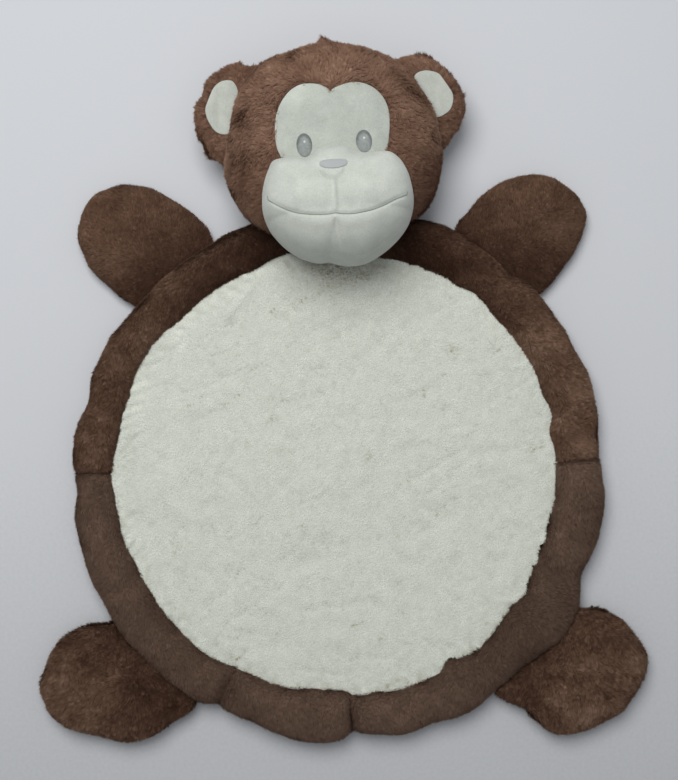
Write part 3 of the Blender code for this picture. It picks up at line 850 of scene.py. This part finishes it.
head_skin_material = backing_material("head_backing", (0.092, 0.049, 0.033), (0.150, 0.084, 0.058), 260.0)
cream_backing = backing_material("cream_backing", (0.47, 0.49, 0.44), (0.55, 0.57, 0.52), 420.0)
velour = velour_material("cream_velour", (0.255, 0.276, 0.246), (0.620, 0.648, 0.598))


# How the pile lies


def outward(points):
    """Level and away from the ring's centre."""
    return unit(points * np.array((1.0, 1.0, 0.0)))


def mat_nap(points):
    """Down the mat, and a little outwards."""
    return unit(np.array((0.25, -0.75, 0.0)) + 0.55 * outward(points))


def ring_nap(points):
    """Like the mat's nap, but leaning over the belly's edge along the ring's inner side."""
    out = outward(points)
    near = smooth((0.014 - past((0.0, 0.0), ring_inner, points[:, 0], points[:, 1])) / 0.012)
    near = (near * smooth((out[:, 1] + 0.35) / 0.5))[:, None]
    return unit(mat_nap(points) * (1 - near) - out * near)


def head_nap(points):
    """Away from a crown above the brow, down both cheeks, and over the face panel's edge beside that."""
    away = (points - np.array((-0.004, 0.425, 0.10))) * np.array((1.0, 1.0, 0.2))
    away = unit(away + np.array((0.0, 0.012, 0.0)))
    inward = np.array((*FACE_CENTRE, 0.0)) - points * np.array((1.0, 1.0, 0.0))
    beyond = np.maximum(past(FACE_CENTRE, face_reach, points[:, 0], points[:, 1]), 0.0)
    near = (0.75 * bell(beyond, 0.0045) * (points[:, 2] > HEAD_SEAM))[:, None]
    return unit(away * (1 - near) + unit(inward) * near)


def off_floor(points, normals):
    """1 where a form faces up or sideways, and 0 where it faces the floor and has no pile."""
    return smooth((normals[:, 2] + 0.75) / 0.5)


def at_rim(normals, flattest=0.75, spread=0.5):
    """1 on a form's sides, and 0 on its level top."""
    return smooth((flattest - normals[:, 2]) / spread)


# The ring


def ring_panel(name, start, end, number):
    along, around = PANEL_STEPS, PANEL_SIDES
    angle = np.radians(np.linspace(start + PANEL_HALF_GAP, end - PANEL_HALF_GAP, along + 1))
    outer = ring_outer(angle) - PILE - ring_dips(angle, 2)
    inner = ring_inner(angle) + 0.0012
    top = RING_TOP - ring_dips(angle, 3) + 0.0012 * np.sin(7.3 * angle) + 0.0010 * np.sin(17.1 * angle + 1.0)
    turn = np.linspace(0, 2 * math.pi, around, endpoint=False)
    across = squared(np.cos(turn), 2.4)
    rise = squared(np.sin(turn), np.where((np.cos(turn) < 0) & (np.sin(turn) > 0), 1.5, 2.3))
    verts = []
    for i in range(along + 1):
        distance = (outer[i] + inner[i]) / 2 + across * (outer[i] - inner[i]) / 2
        height = RING_WAIST + np.where(rise > 0, (top[i] - RING_WAIST) * rise, 1.15 * RING_WAIST * rise)
        a = angle[i]
        verts.append(flat(distance * math.cos(a), distance * math.sin(a), np.maximum(height, LOWEST)))
    for i in (0, along):
        verts.append(verts[i].mean(axis=0)[None, :])
    first, last = (along + 1) * around, (along + 1) * around + 1
    faces = []
    for i in range(along):
        for k in range(around):
            n = (k + 1) % around
            faces.append((i * around + n, i * around + k, (i + 1) * around + k, (i + 1) * around + n))
    for k in range(around):
        n = (k + 1) % around
        faces.append((first, k, n))
        faces.append((last, along * around + n, along * around + k))
    soft = new_object(name + "_soft", np.concatenate(verts), faces, skin_material)
    lumpy(soft, ((0.060, 0.0016, 40 + number), (0.022, 0.0008, 50 + number)))

    def keep(points, normals):
        seen = off_floor(points, normals)
        under_head = (head_share(points[:, 0], points[:, 1]) < 0.9) & (points[:, 1] > 0.2)
        return np.where(under_head, 0.15 * seen, seen)

    upper = name.startswith("ring_panel_upper")

    def tone_at(points, normals):
        x, y = points[:, 0], points[:, 1]
        angle, radius = polar((0.0, 0.0), x, y)
        # painted light: the ring's outer sides are made lighter
        rim = at_rim(normals) * smooth((radius - 0.27) / 0.01)
        right = smooth((x - 0.10) / 0.10) * smooth((y + 0.10) / 0.15) * smooth((0.20 - y) / 0.08)
        lower_right = smooth((x - 0.12) / 0.08) * smooth((0.02 - y) / 0.06)
        foot = smooth((-0.12 - y) / 0.08) * smooth((np.abs(x) - 0.08) / 0.06)
        sewn = sum(bell(degrees_from(angle, line), 0.45) for line in SEWN_LINES)
        # painted shade: the ring's pile is darkened beside and below the head, where the head shades it
        painted_shade_beside_head = bell(np.hypot(np.abs(x) - 0.082, y - 0.258), 0.034)
        painted_shade_below_head = bell(np.hypot(np.abs(x) - 0.120, y - 0.238), 0.075) * smooth((0.292 - radius) / 0.022)
        painted_shade_by_head = 0.44 * painted_shade_beside_head + 0.30 * painted_shade_below_head
        # the upper ring panels get a little painted shade
        shade = 0.05 * foot + 0.35 * sewn + 0.06 * lower_right + painted_shade_by_head + (0.03 if upper else 0.0)
        return 0.15 * rim + 0.13 * right - shade

    # the lower panels take the lighter copy of the pile, as painted light
    material, coat = (fur_material, RING_COAT) if upper else (low_fur_material, LOW_RING_COAT)
    seed = SEEDS["ring"] + 10 * number
    return soft, pile(name + "_fur", soft, material, coat, ring_nap, seed, keep, tone_at)


# Arms and feet


def limb(name, centre, shade, column):
    kind = name.split("_")[0]
    top, seam, painted_rim_sheen, _ = LIMB_KINDS[kind]

    def reach(angle):
        free = read_round(LIMB_EDGE, column, angle) - PILE
        return cut_short(centre, angle, free, lambda x, y: past_ring(x, y) < -LIMB_TUCK)

    def upper(x, y, share, angle):
        thin = 1.0 - 0.50 * bell(np.maximum(past_ring(x, y), 0.0), 0.026)
        return seam + (top - seam) * dome(share, 2.6) * thin

    def lower(x, y, share, angle):
        return np.maximum(LOWEST, seam - 1.3 * seam * dome(share, 2.6))

    soft = filled(name + "_soft", centre, reach, upper, lower, GRIDS["limb"], skin_material)
    lumpy(soft, ((0.050, 0.0014, 10 + column), (0.020, 0.0007, 15 + column)))

    def nap(points):
        away = np.array((*centre, 0.0)) / math.hypot(*centre)
        return unit(away * 0.8 + np.array((0.0, -0.35, 0.0)) + 0.5 * unit(points - np.array((*centre, 0.0))))

    def tone_at(points, normals):
        # painted shade darkens the pile next to the ring, and the rim's tone is a painted sheen that
        # lightens the sides
        root = bell(np.maximum(past_ring(points[:, 0], points[:, 1]), 0.0), 0.045)
        return painted_rim_sheen * at_rim(normals, 0.80, 0.6) - 0.30 * root + shade

    seed = SEEDS["limb"] + 10 * column
    return soft, pile(name + "_fur", soft, fur_material, LIMB_COATS[kind], nap, seed, off_floor, tone_at)


# Head and ears


def head():
    def upper(x, y, share, angle):
        return head_top(x, y)

    def lower(x, y, share, angle):
        own = HEAD_SEAM - 1.2 * HEAD_SEAM * dome(share, 2.5)
        beyond = smooth((past_ring(x, y) - 0.004) / 0.034)
        return np.maximum(np.maximum(own, LOWEST), (RING_TOP + 0.006) * (1 - beyond))

    soft = filled("head_soft", HEAD_CENTRE, head_reach, upper, lower, GRIDS["head"], head_skin_material)

    def keep(points, normals):
        x, y = points[:, 0], points[:, 1]
        in_face = past(FACE_CENTRE, face_reach, x, y) < 0.0006
        in_muzzle = past(MUZZLE_CENTRE, muzzle_reach, x, y) < -0.004
        hidden = (in_face | in_muzzle) & (points[:, 2] > HEAD_SEAM)
        return np.where(hidden, 0.0, off_floor(points, normals))

    def tone_at(points, normals):
        x, y = points[:, 0], points[:, 1]
        crown = smooth((y - 0.40) / 0.06)
        right = smooth((x - 0.045) / 0.05) * smooth((0.365 - y) / 0.05)
        left = smooth((-0.060 - x) / 0.04) * smooth((0.350 - y) / 0.04)
        temple = smooth((np.abs(x) - 0.050) / 0.04) * smooth((y - 0.345) / 0.02) * smooth((0.43 - y) / 0.03)
        # painted shade: the fur is darker along the face panel's upper edge
        beyond = np.maximum(past(FACE_CENTRE, face_reach, x, y), 0.0)
        hem = bell(beyond, 0.0030) * smooth((y - 0.385) / 0.02)
        shade = -0.03 * crown - 0.28 * right - 0.13 * left + 0.12 * temple - 0.22 * hem
        # painted sheen: the head's sides are a little lighter
        return shade + 0.08 * at_rim(normals)

    def size_at(points):
        size = np.ones(len(points))
        for x, y, spread, growth in HEAD_TUFTS:
            away = np.hypot(points[:, 0] - x * MM, points[:, 1] - y * MM)
            size = size + growth * bell(away, spread * MM)
        return size

    seed = SEEDS["head"]
    fur = pile("head_fur", soft, head_fur_material, HEAD_COAT, head_nap, seed, keep, tone_at, size_at)
    return soft, fur


def ear(side, centre, patch_centre, fold_shift, column):
    def reach(angle):
        free = read_round(EAR_EDGE, column, angle) - PILE * 0.8
        return cut_short(centre, angle, free, lambda x, y: past(HEAD_CENTRE, head_reach, x, y) < -0.003)

    def upper(x, y, share, angle):
        return EAR_SEAM + EAR_RISE * dome(share, 3.0) * (1 - 0.35 * np.exp(-((share / 0.62) ** 4)))

    def lower(x, y, share, angle):
        return EAR_SEAM - EAR_RISE * dome(share, 3.0)

    soft = filled(f"ear_{side}_soft", centre, reach, upper, lower, GRIDS["ear"], head_skin_material)
    lumpy(soft, ((0.030, 0.0010, 70 + column),))
    patch_rows = polar_rows(EAR_PATCHES[side], patch_centre)

    def whole_patch(angle):
        return read_round(patch_rows, 1, angle)

    def in_head(x, y):
        return past(HEAD_CENTRE, head_reach, x, y) < -0.0005

    def patch_reach(angle):
        return cut_short(patch_centre, angle, whole_patch(angle), in_head)

    def ear_height(x, y):
        angle, distance = polar(centre, x, y)
        return upper(x, y, distance / reach(angle), angle)

    def patch_upper(x, y, share, angle):
        fold = 0.0014 * bell(x - (patch_centre[0] + fold_shift), 0.0050) * dome(share, 2.0)
        return ear_height(x, y) + 0.0006 + 0.0022 * dome(share, 5.0) - fold

    def patch_lower(x, y, share, angle):
        return ear_height(x, y) + 0.0004

    name = f"ear_patch_{side}_cloth"
    cloth = filled(name, patch_centre, patch_reach, patch_upper, patch_lower, GRIDS["ear_patch"], velour)
    set_tone(cloth, lambda verts: 0.40)

    def keep(points, normals):
        in_patch = past(patch_centre, whole_patch, points[:, 0], points[:, 1]) < -0.0008
        return np.where(in_patch & (points[:, 2] > EAR_SEAM), 0.0, off_floor(points, normals))

    def nap(points):
        return unit(unit(points - np.array((*centre, EAR_SEAM))) + np.array((0.0, -0.3, 0.0)))

    def size_at(points):
        return 1.0 + np.clip(0.9 * noise(points, 0.006, 95), 0.0, 0.7)

    def tone_at(points, normals):
        # painted sheen: the ear's sides are lighter
        return -0.10 + 0.10 * at_rim(normals)

    seed = SEEDS["ear"] + 10 * column
    fur = pile(f"ear_{side}_fur", soft, head_fur_material, EAR_COAT, nap, seed, keep, tone_at, size_at)
    return soft, fur, cloth, flat_area(patch_reach)


# The belly


def frayed(angle):
    """1 where the belly's edge is the most frayed, at the lower right, and 0 where it is even."""
    return smooth(1.0 - np.abs(degrees_from(angle, FRAY_MIDDLE_DEG)) / FRAY_SPREAD_DEG)


def belly_edge(angle):
    ring = flat(np.cos(angle), np.sin(angle))
    tufts = 0.0062 * frayed(angle) * np.clip(noise(ring, 0.026, 85), -0.25, 1.0)
    tufts = tufts + 0.0009 * noise(ring, 0.09, 86)
    return ring_inner(angle) + 0.0014 - 0.0030 * frayed(angle) + tufts


def short_creases():
    """Small creases all over the belly, which slant like its wrinkles: start, end and width of each."""
    rng = np.random.default_rng(SEEDS["creases"])
    spots = 0.225 * np.sqrt(rng.random(BELLY_CREASES))
    about = 2 * math.pi * rng.random(BELLY_CREASES)
    turned = np.radians(38 + 16 * rng.normal(size=BELLY_CREASES))
    half_length = MM * (3.5 + 5.0 * rng.random(BELLY_CREASES))
    wide = MM * (1.1 + 0.9 * rng.random(BELLY_CREASES))
    middle = np.column_stack((spots * np.cos(about), spots * np.sin(about)))
    run = np.column_stack((half_length * np.cos(turned), half_length * np.sin(turned)))
    return list(zip(middle - run, middle + run, wide))


CREASES = short_creases()


def creased(x, y):
    """1 on the short creases, and 0 away from them."""
    mark = np.zeros_like(x)
    for start, end, width in CREASES:
        mark = np.maximum(mark, bell(off_line(x, y, start, end), width))
    return mark


def belly():
    def upper(x, y, share, angle):
        rim = BELLY_RIM + 0.0022 * frayed(angle)
        level = rim + (BELLY_TOP - rim) * dome(share, 7.0)
        along, across = x * 0.88 + y * 0.47, y * 0.88 - x * 0.47
        broad = 0.0010 * noise(flat(along / 2.2, across), 0.040, 81)
        fine = np.abs(noise(flat(along / 1.8, across), 0.024, 82))
        wrinkled = smooth(0.4 + 1.2 * noise(flat(x, y), 0.11, 84))
        shape = broad - 0.0014 * bell(fine, 0.12) * wrinkled + 0.0007 * noise(flat(x, y), 0.012, 87)
        shape = shape - 0.0006 * creased(x, y)
        for x0, y0, x1, y1, wide, rise in BELLY_FOLDS:
            distance = off_line(x, y, (x0 * MM, y0 * MM), (x1 * MM, y1 * MM))
            shape = shape + rise * MM * bell(distance, wide * MM)
        slant = angle * 95 + 2 * np.sin(angle * 11) - 76 * (share - 0.9)
        uneven = np.clip(0.55 + 0.9 * noise(flat(np.cos(angle), np.sin(angle)), 0.11, 83), 0.1, 1.3)
        pucker = 0.0011 * uneven * np.sin(slant) * smooth((share - 0.87) / 0.10)
        left = smooth(0.5 - x / 0.25)
        return level + shape * dome(share, 6.0) + pucker * (0.30 + 0.70 * left)

    def lower(x, y, share, angle):
        return np.maximum(LOWEST, BELLY_SEAM - BELLY_DEPTH * dome(share, 6.0))

    soft = filled("belly_disc_soft", (0.0, 0.0), belly_edge, upper, lower, GRIDS["belly"], cream_backing)

    def radius(points):
        return np.hypot(points[:, 0], points[:, 1])

    def nap(points):
        near = smooth((radius(points) / 0.24 - 0.85) / 0.12)[:, None]
        out = unit(points * np.array((1.0, 1.0, 0.0)) + 1e-6)
        return unit(np.array((0.45, -0.75, 0.0)) + out * 1.4 * near)

    def keep(points, normals):
        return np.where(normals[:, 2] > 0, 1.0 + smooth((radius(points) - 0.224) / 0.012), 0.0)

    def size_at(points):
        edge = smooth((radius(points) - 0.232) / 0.008)
        low = smooth((0.05 - points[:, 1]) / 0.10)
        return 1.0 + edge * low * np.clip(0.9 + 2.4 * noise(points, 0.007, 88), 0.0, 2.6)

    def tone_at(points, normals):
        x, y = points[:, 0], points[:, 1]
        # painted shadow: the pile is darkened under the chin, most of all right below it, where the muzzle
        # shades the belly
        painted_chin_shadow = bell(x, 0.052) * smooth((y - 0.189) / 0.034)
        painted_chin_shadow_core = bell(x, 0.026) * smooth((y - 0.204) / 0.020)
        # painted light makes the pile lighter towards the upper left, and painted shade makes it darker
        # towards the bottom
        light = 0.07 * smooth((-0.06 - x) / 0.1) * smooth((y + 0.02) / 0.1)
        low = 0.05 * smooth((-0.10 - y) / 0.1)
        mottled = 0.26 * noise(points, 0.0056, 701) + 0.10 * noise(points, 0.014, 702)
        # the shade adds the painted chin shadow and painted shade in the short creases
        shade = 0.44 * painted_chin_shadow + 0.06 * painted_chin_shadow_core + 0.30 * creased(x, y)
        return light + 0.03 + mottled * (1.0 - 0.8 * painted_chin_shadow) - low - shade

    seed = SEEDS["belly"]
    fur = pile("belly_disc_pile", soft, cream_pile_material, BELLY_COAT, nap, seed, keep, tone_at, size_at)
    return soft, fur


# Face panel and muzzle


def face():
    def upper(x, y, share, angle):
        return np.where(share > 0.9999, head_top(x, y) + FACE_RISE, face_height(x, y))

    def lower(x, y, share, angle):
        return face_height(x, y) - FACE_THICK - 0.5 * FACE_RISE

    panel = filled("face_panel_cloth", FACE_CENTRE, face_reach, upper, lower, GRIDS["face"], velour)

    def tone(verts):
        x, y = verts[:, 0], verts[:, 1]
        # painted light makes the forehead's upper left lighter, and painted shade makes the right a little
        # darker
        lit = smooth((-0.012 - x) / 0.030) * smooth((y - 0.372) / 0.03)
        return 0.335 + 0.17 * lit - 0.03 * smooth(x / 0.03)

    set_tone(panel, tone)
    return panel


def muzzle():
    def upper(x, y, share, angle):
        on_head = head_share(x, y, 0.003) < 1.0
        upper_side = smooth((y - 0.318) / 0.012)
        own = muzzle_height(x, y)
        return np.where(on_head, own + (face_and_muzzle(x, y) - own) * upper_side, own)

    def lower(x, y, share, angle):
        rim = muzzle_rim(angle)
        own = rim - (rim - MUZZLE_BACK) * dome(share, MUZZLE_FULLNESS)
        near_head = smooth((1.10 - head_share(x, y)) / 0.07)
        resting = own + (np.maximum(own, head_top(x, y) + 0.0006) - own) * near_head
        return np.minimum(resting, upper(x, y, share, angle))

    made = filled("muzzle_soft", MUZZLE_CENTRE, muzzle_reach, upper, lower, GRIDS["muzzle"], velour)

    def tone(verts):
        across, up = muzzle_frame(verts[:, 0], verts[:, 1])
        # painted light: the muzzle's lower part and its right side are made lighter
        below = smooth((-0.006 - up) / 0.02)
        right = smooth((across - 0.030) / 0.03)
        # painted shade above the smile
        painted_shade_over_lip = bell(up - 0.001, 0.010) * smooth((0.060 - np.abs(across)) / 0.02)
        aside = beside_seam(across, up)
        seam = bell(aside, 0.0017) - bell(aside - 0.0036, 0.0016)
        fading = smooth((0.0270 - up) / 0.006) * (1.0 - 0.9 * smooth((-0.002 - up) / 0.026))
        # painted light on the upright seam's ridge, with painted shade just beside it and in the bow under
        # the nose
        sewn = 0.11 * seam * fading - 0.16 * nose_bow(across, up, 0.0022)
        return 0.56 + 0.02 * below + 0.13 * right - 0.08 * painted_shade_over_lip + sewn

    set_tone(made, tone)
    return made


# Embroidery


def patch(name, centre, reach, above, rise, material, grid):
    """Stitching that stands above the face's cloth, with a crown of its own."""
    def upper(x, y, share, angle):
        return face_surface(x, y) + above + rise * dome(share, 3.0)

    def lower(x, y, share, angle):
        return face_surface(x, y) + above - 0.0006

    return filled(name, centre, reach, upper, lower, grid, material)


def stitched_eye(name, cx, cy, wide, high, material):
    def reach(angle):
        level = angle - EYE_TURN
        return 1.0 / np.hypot(np.cos(level) / wide, np.sin(level) / high)

    def tone(verts):
        dx, dy = verts[:, 0] - cx, verts[:, 1] - cy
        share = np.hypot(dx, dy) / reach(np.arctan2(dy, dx))
        rim = smooth((share - 0.56) / 0.3) * smooth(0.65 + dy / high * 0.8)
        pupil = bell(np.hypot(dx - 0.0008, dy - 0.0030), 0.0042)
        return 0.37 + 0.16 * pupil - 0.38 * rim + 0.14 * noise(verts, 0.0016, 91)

    eye = patch(name + "_stitched", (cx, cy), reach, 0.0002, 0.0014, material, GRIDS["stitching"])
    set_tone(eye, tone)
    return eye


def glint(name, cx, cy, material):
    """The pale stitches that stand for the light in an eye."""
    def reach(angle):
        return np.full_like(angle, GLINT_RADIUS)

    place = (cx + 0.0002, cy + 0.0032)
    made = patch(name + "_glint", place, reach, 0.0014, 0.0005, material, GRIDS["glint"])
    set_tone(made, lambda verts: 0.75)
    return made


def stitched_nose(material):
    def reach(angle):
        level = angle - TILT
        wide = NOSE_HALF[0] * (1.0 + 0.12 * np.sin(level))
        power = np.where(np.sin(level) > 0, 3.2, 2.1)
        sides = np.abs(np.cos(level) / wide) ** power + np.abs(np.sin(level) / NOSE_HALF[1]) ** power
        return 1.0 / sides ** (1 / power)

    def tone(verts):
        dx, dy = verts[:, 0] - NOSE_CENTRE[0], verts[:, 1] - NOSE_CENTRE[1]
        share = np.hypot(dx, dy) / reach(np.arctan2(dy, dx))
        return 0.60 - 0.35 * smooth((share - 0.70) / 0.3) * smooth(0.4 - dy / NOSE_HALF[1])

    nose = patch("nose_stitched", NOSE_CENTRE, reach, 0.0002, 0.0010, material, GRIDS["stitching"])
    set_tone(nose, tone)
    return nose


def mouth_thread():
    """The stitching in the smile, turned up into a short stitch at each end."""
    thread = thread_material("mouth_thread", (0.17, 0.20, 0.18), (0.30, 0.34, 0.31), "X", 0.0012)
    across = np.linspace(-0.0715, 0.0705, 90)
    up = mouth_line(across)
    left_stitch = across[0] - np.array((0.0004, 0.0003)), up[0] + np.array((0.0045, 0.0020))
    right_stitch = across[-1] + np.array((0.0003, 0.0004)), up[-1] + np.array((0.0015, 0.0030))
    across = np.concatenate((left_stitch[0], across, right_stitch[0]))
    up = np.concatenate((left_stitch[1], up, right_stitch[1]))
    x = MUZZLE_CENTRE[0] + across * math.cos(TILT) - up * math.sin(TILT)
    y = MUZZLE_CENTRE[1] + across * math.sin(TILT) + up * math.cos(TILT)
    made = tube("mouth_thread", flat(x, y, muzzle_height(x, y) + 0.0002), THREAD_RADIUS, 6, thread)
    set_tone(made, lambda verts: 0.4)
    return made


# Build


def ride(obj):
    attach(obj, "root")


def stuffed(node, soft, fur, slot_name, fill):
    """A soft part and its pile, in place of a node."""
    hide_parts(node)
    ride(soft)
    ride(fur)


for number, (name, start, end) in enumerate(RING_PANELS):
    stuffed(name, *ring_panel(name, start, end, number), "brown_fur", 0.7)
for column, (name, centre, shade) in enumerate(LIMBS, 1):
    stuffed(name, *limb(name, centre, shade, column), "brown_fur", LIMB_KINDS[name.split("_")[0]][3])
stuffed("head", *head(), "brown_fur", 0.85)
for column, (side, centre, patch_centre, patch_flat, fold_shift) in enumerate(EARS, 1):
    soft, fur, cloth, area = ear(side, centre, patch_centre, fold_shift, column)
    stuffed(f"ear_{side}", soft, fur, "brown_fur", 0.4)
    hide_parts(f"ear_patch_{side}")
    ride(cloth)
stuffed("belly_disc", *belly(), "cream_plush", 0.5)
panel = face()
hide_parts("face_panel")
ride(panel)
flat_area(face_reach)
snout = muzzle()
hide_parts("muzzle")
ride(snout)
eye_thread = thread_material("eye_thread", (0.115, 0.135, 0.135), (0.47, 0.505, 0.485), "Y", 0.0009)
glint_thread = thread_material("glint_thread", (0.55, 0.57, 0.57), (0.80, 0.82, 0.82), "X", 0.0007)
nose_thread = thread_material("nose_thread", (0.27, 0.29, 0.30), (0.52, 0.545, 0.55), "X", 0.0009)
for name, cx, cy, wide, high in EYES:
    eye = stitched_eye(name, cx, cy, wide, high, eye_thread)
    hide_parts(name)
    ride(eye)
    ride(glint(name, cx, cy, glint_thread))
nose = stitched_nose(nose_thread)
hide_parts("nose")
ride(nose)
ride(mouth_thread())


# Floor, light and camera

FLOOR_HALF = 9.0
FLOOR_STOPS = (
    (0.0, (0.350, 0.360, 0.374)),
    (0.65, (0.488, 0.501, 0.526)),
    (1.0, (0.500, 0.515, 0.542)),
)
LIGHTS = (
    # name, place, target, size, power, colour
    ("key", (-0.40, 1.05, 2.10), (0.0, 0.1, 0.0), 1.5, 46.5, (1.0, 0.99, 0.97)),
    ("fill", (0.1, 0.0, 2.8), (0.0, 0.0, 0.0), 3.0, 11.0, (1.0, 1.0, 1.0)),
)
ROOM_COLOUR = (0.95, 0.97, 1.0, 1.0)
ROOM_STRENGTH = 0.34
CAMERA_PLACE = (0.0017, 0.0945, 1.6)
CAMERA_LENS = 65.9


def floor():
    """A plain pale floor, with painted shade: a little darker towards the feet and towards the right."""
    look = Look("pale_floor", 0.8)
    # painted shade: the floor's colour falls off towards the feet and a little to the right
    upwards = look.add("ShaderNodeVectorMath", {1: (-0.08, 1.0, 0.0)}, "DOT_PRODUCT")
    look.links.new(look.place(), upwards.inputs[0])
    shade = look.add("ShaderNodeMapRange", {"From Min": -0.46, "From Max": 0.45})
    look.links.new(upwards.outputs["Value"], shade.inputs["Value"])
    grain = look.grain(260.0, 2.0)
    look.colour(look.total(((shade.outputs["Result"], 0.9), (grain, 0.30))), FLOOR_STOPS)
    corners = [(FLOOR_HALF * x, FLOOR_HALF * y, 0) for x, y in ((-1, -1), (1, -1), (1, 1), (-1, 1))]
    obj = new_object("floor", corners, [(0, 1, 2, 3)], look.material, smooth_shaded=False)
    obj.location.z = -0.0002


floor()
for name, place, target, size, power, colour in LIGHTS:
    light = bpy.data.lights.new(name, "AREA")
    light.shape = "DISK"
    light.size = size
    light.energy = power
    light.color = colour
    lamp = link_new(name, light)
    lamp.location = place
    lamp.rotation_euler = (Vector(target) - Vector(place)).to_track_quat("-Z", "Y").to_euler()
world = bpy.data.worlds.new("soft_room")
world.use_nodes = True
world.node_tree.nodes["Background"].inputs["Color"].default_value = ROOM_COLOUR
world.node_tree.nodes["Background"].inputs["Strength"].default_value = ROOM_STRENGTH
bpy.context.scene.world = world
bpy.context.scene.view_settings.view_transform = "Standard"

camera = bpy.data.cameras.new("camera")
camera.lens = CAMERA_LENS
camera.sensor_width = 36.0
camera_object = link_new("camera", camera)
camera_object.location = CAMERA_PLACE
bpy.context.scene.camera = camera_object

bpy.context.view_layer.update()
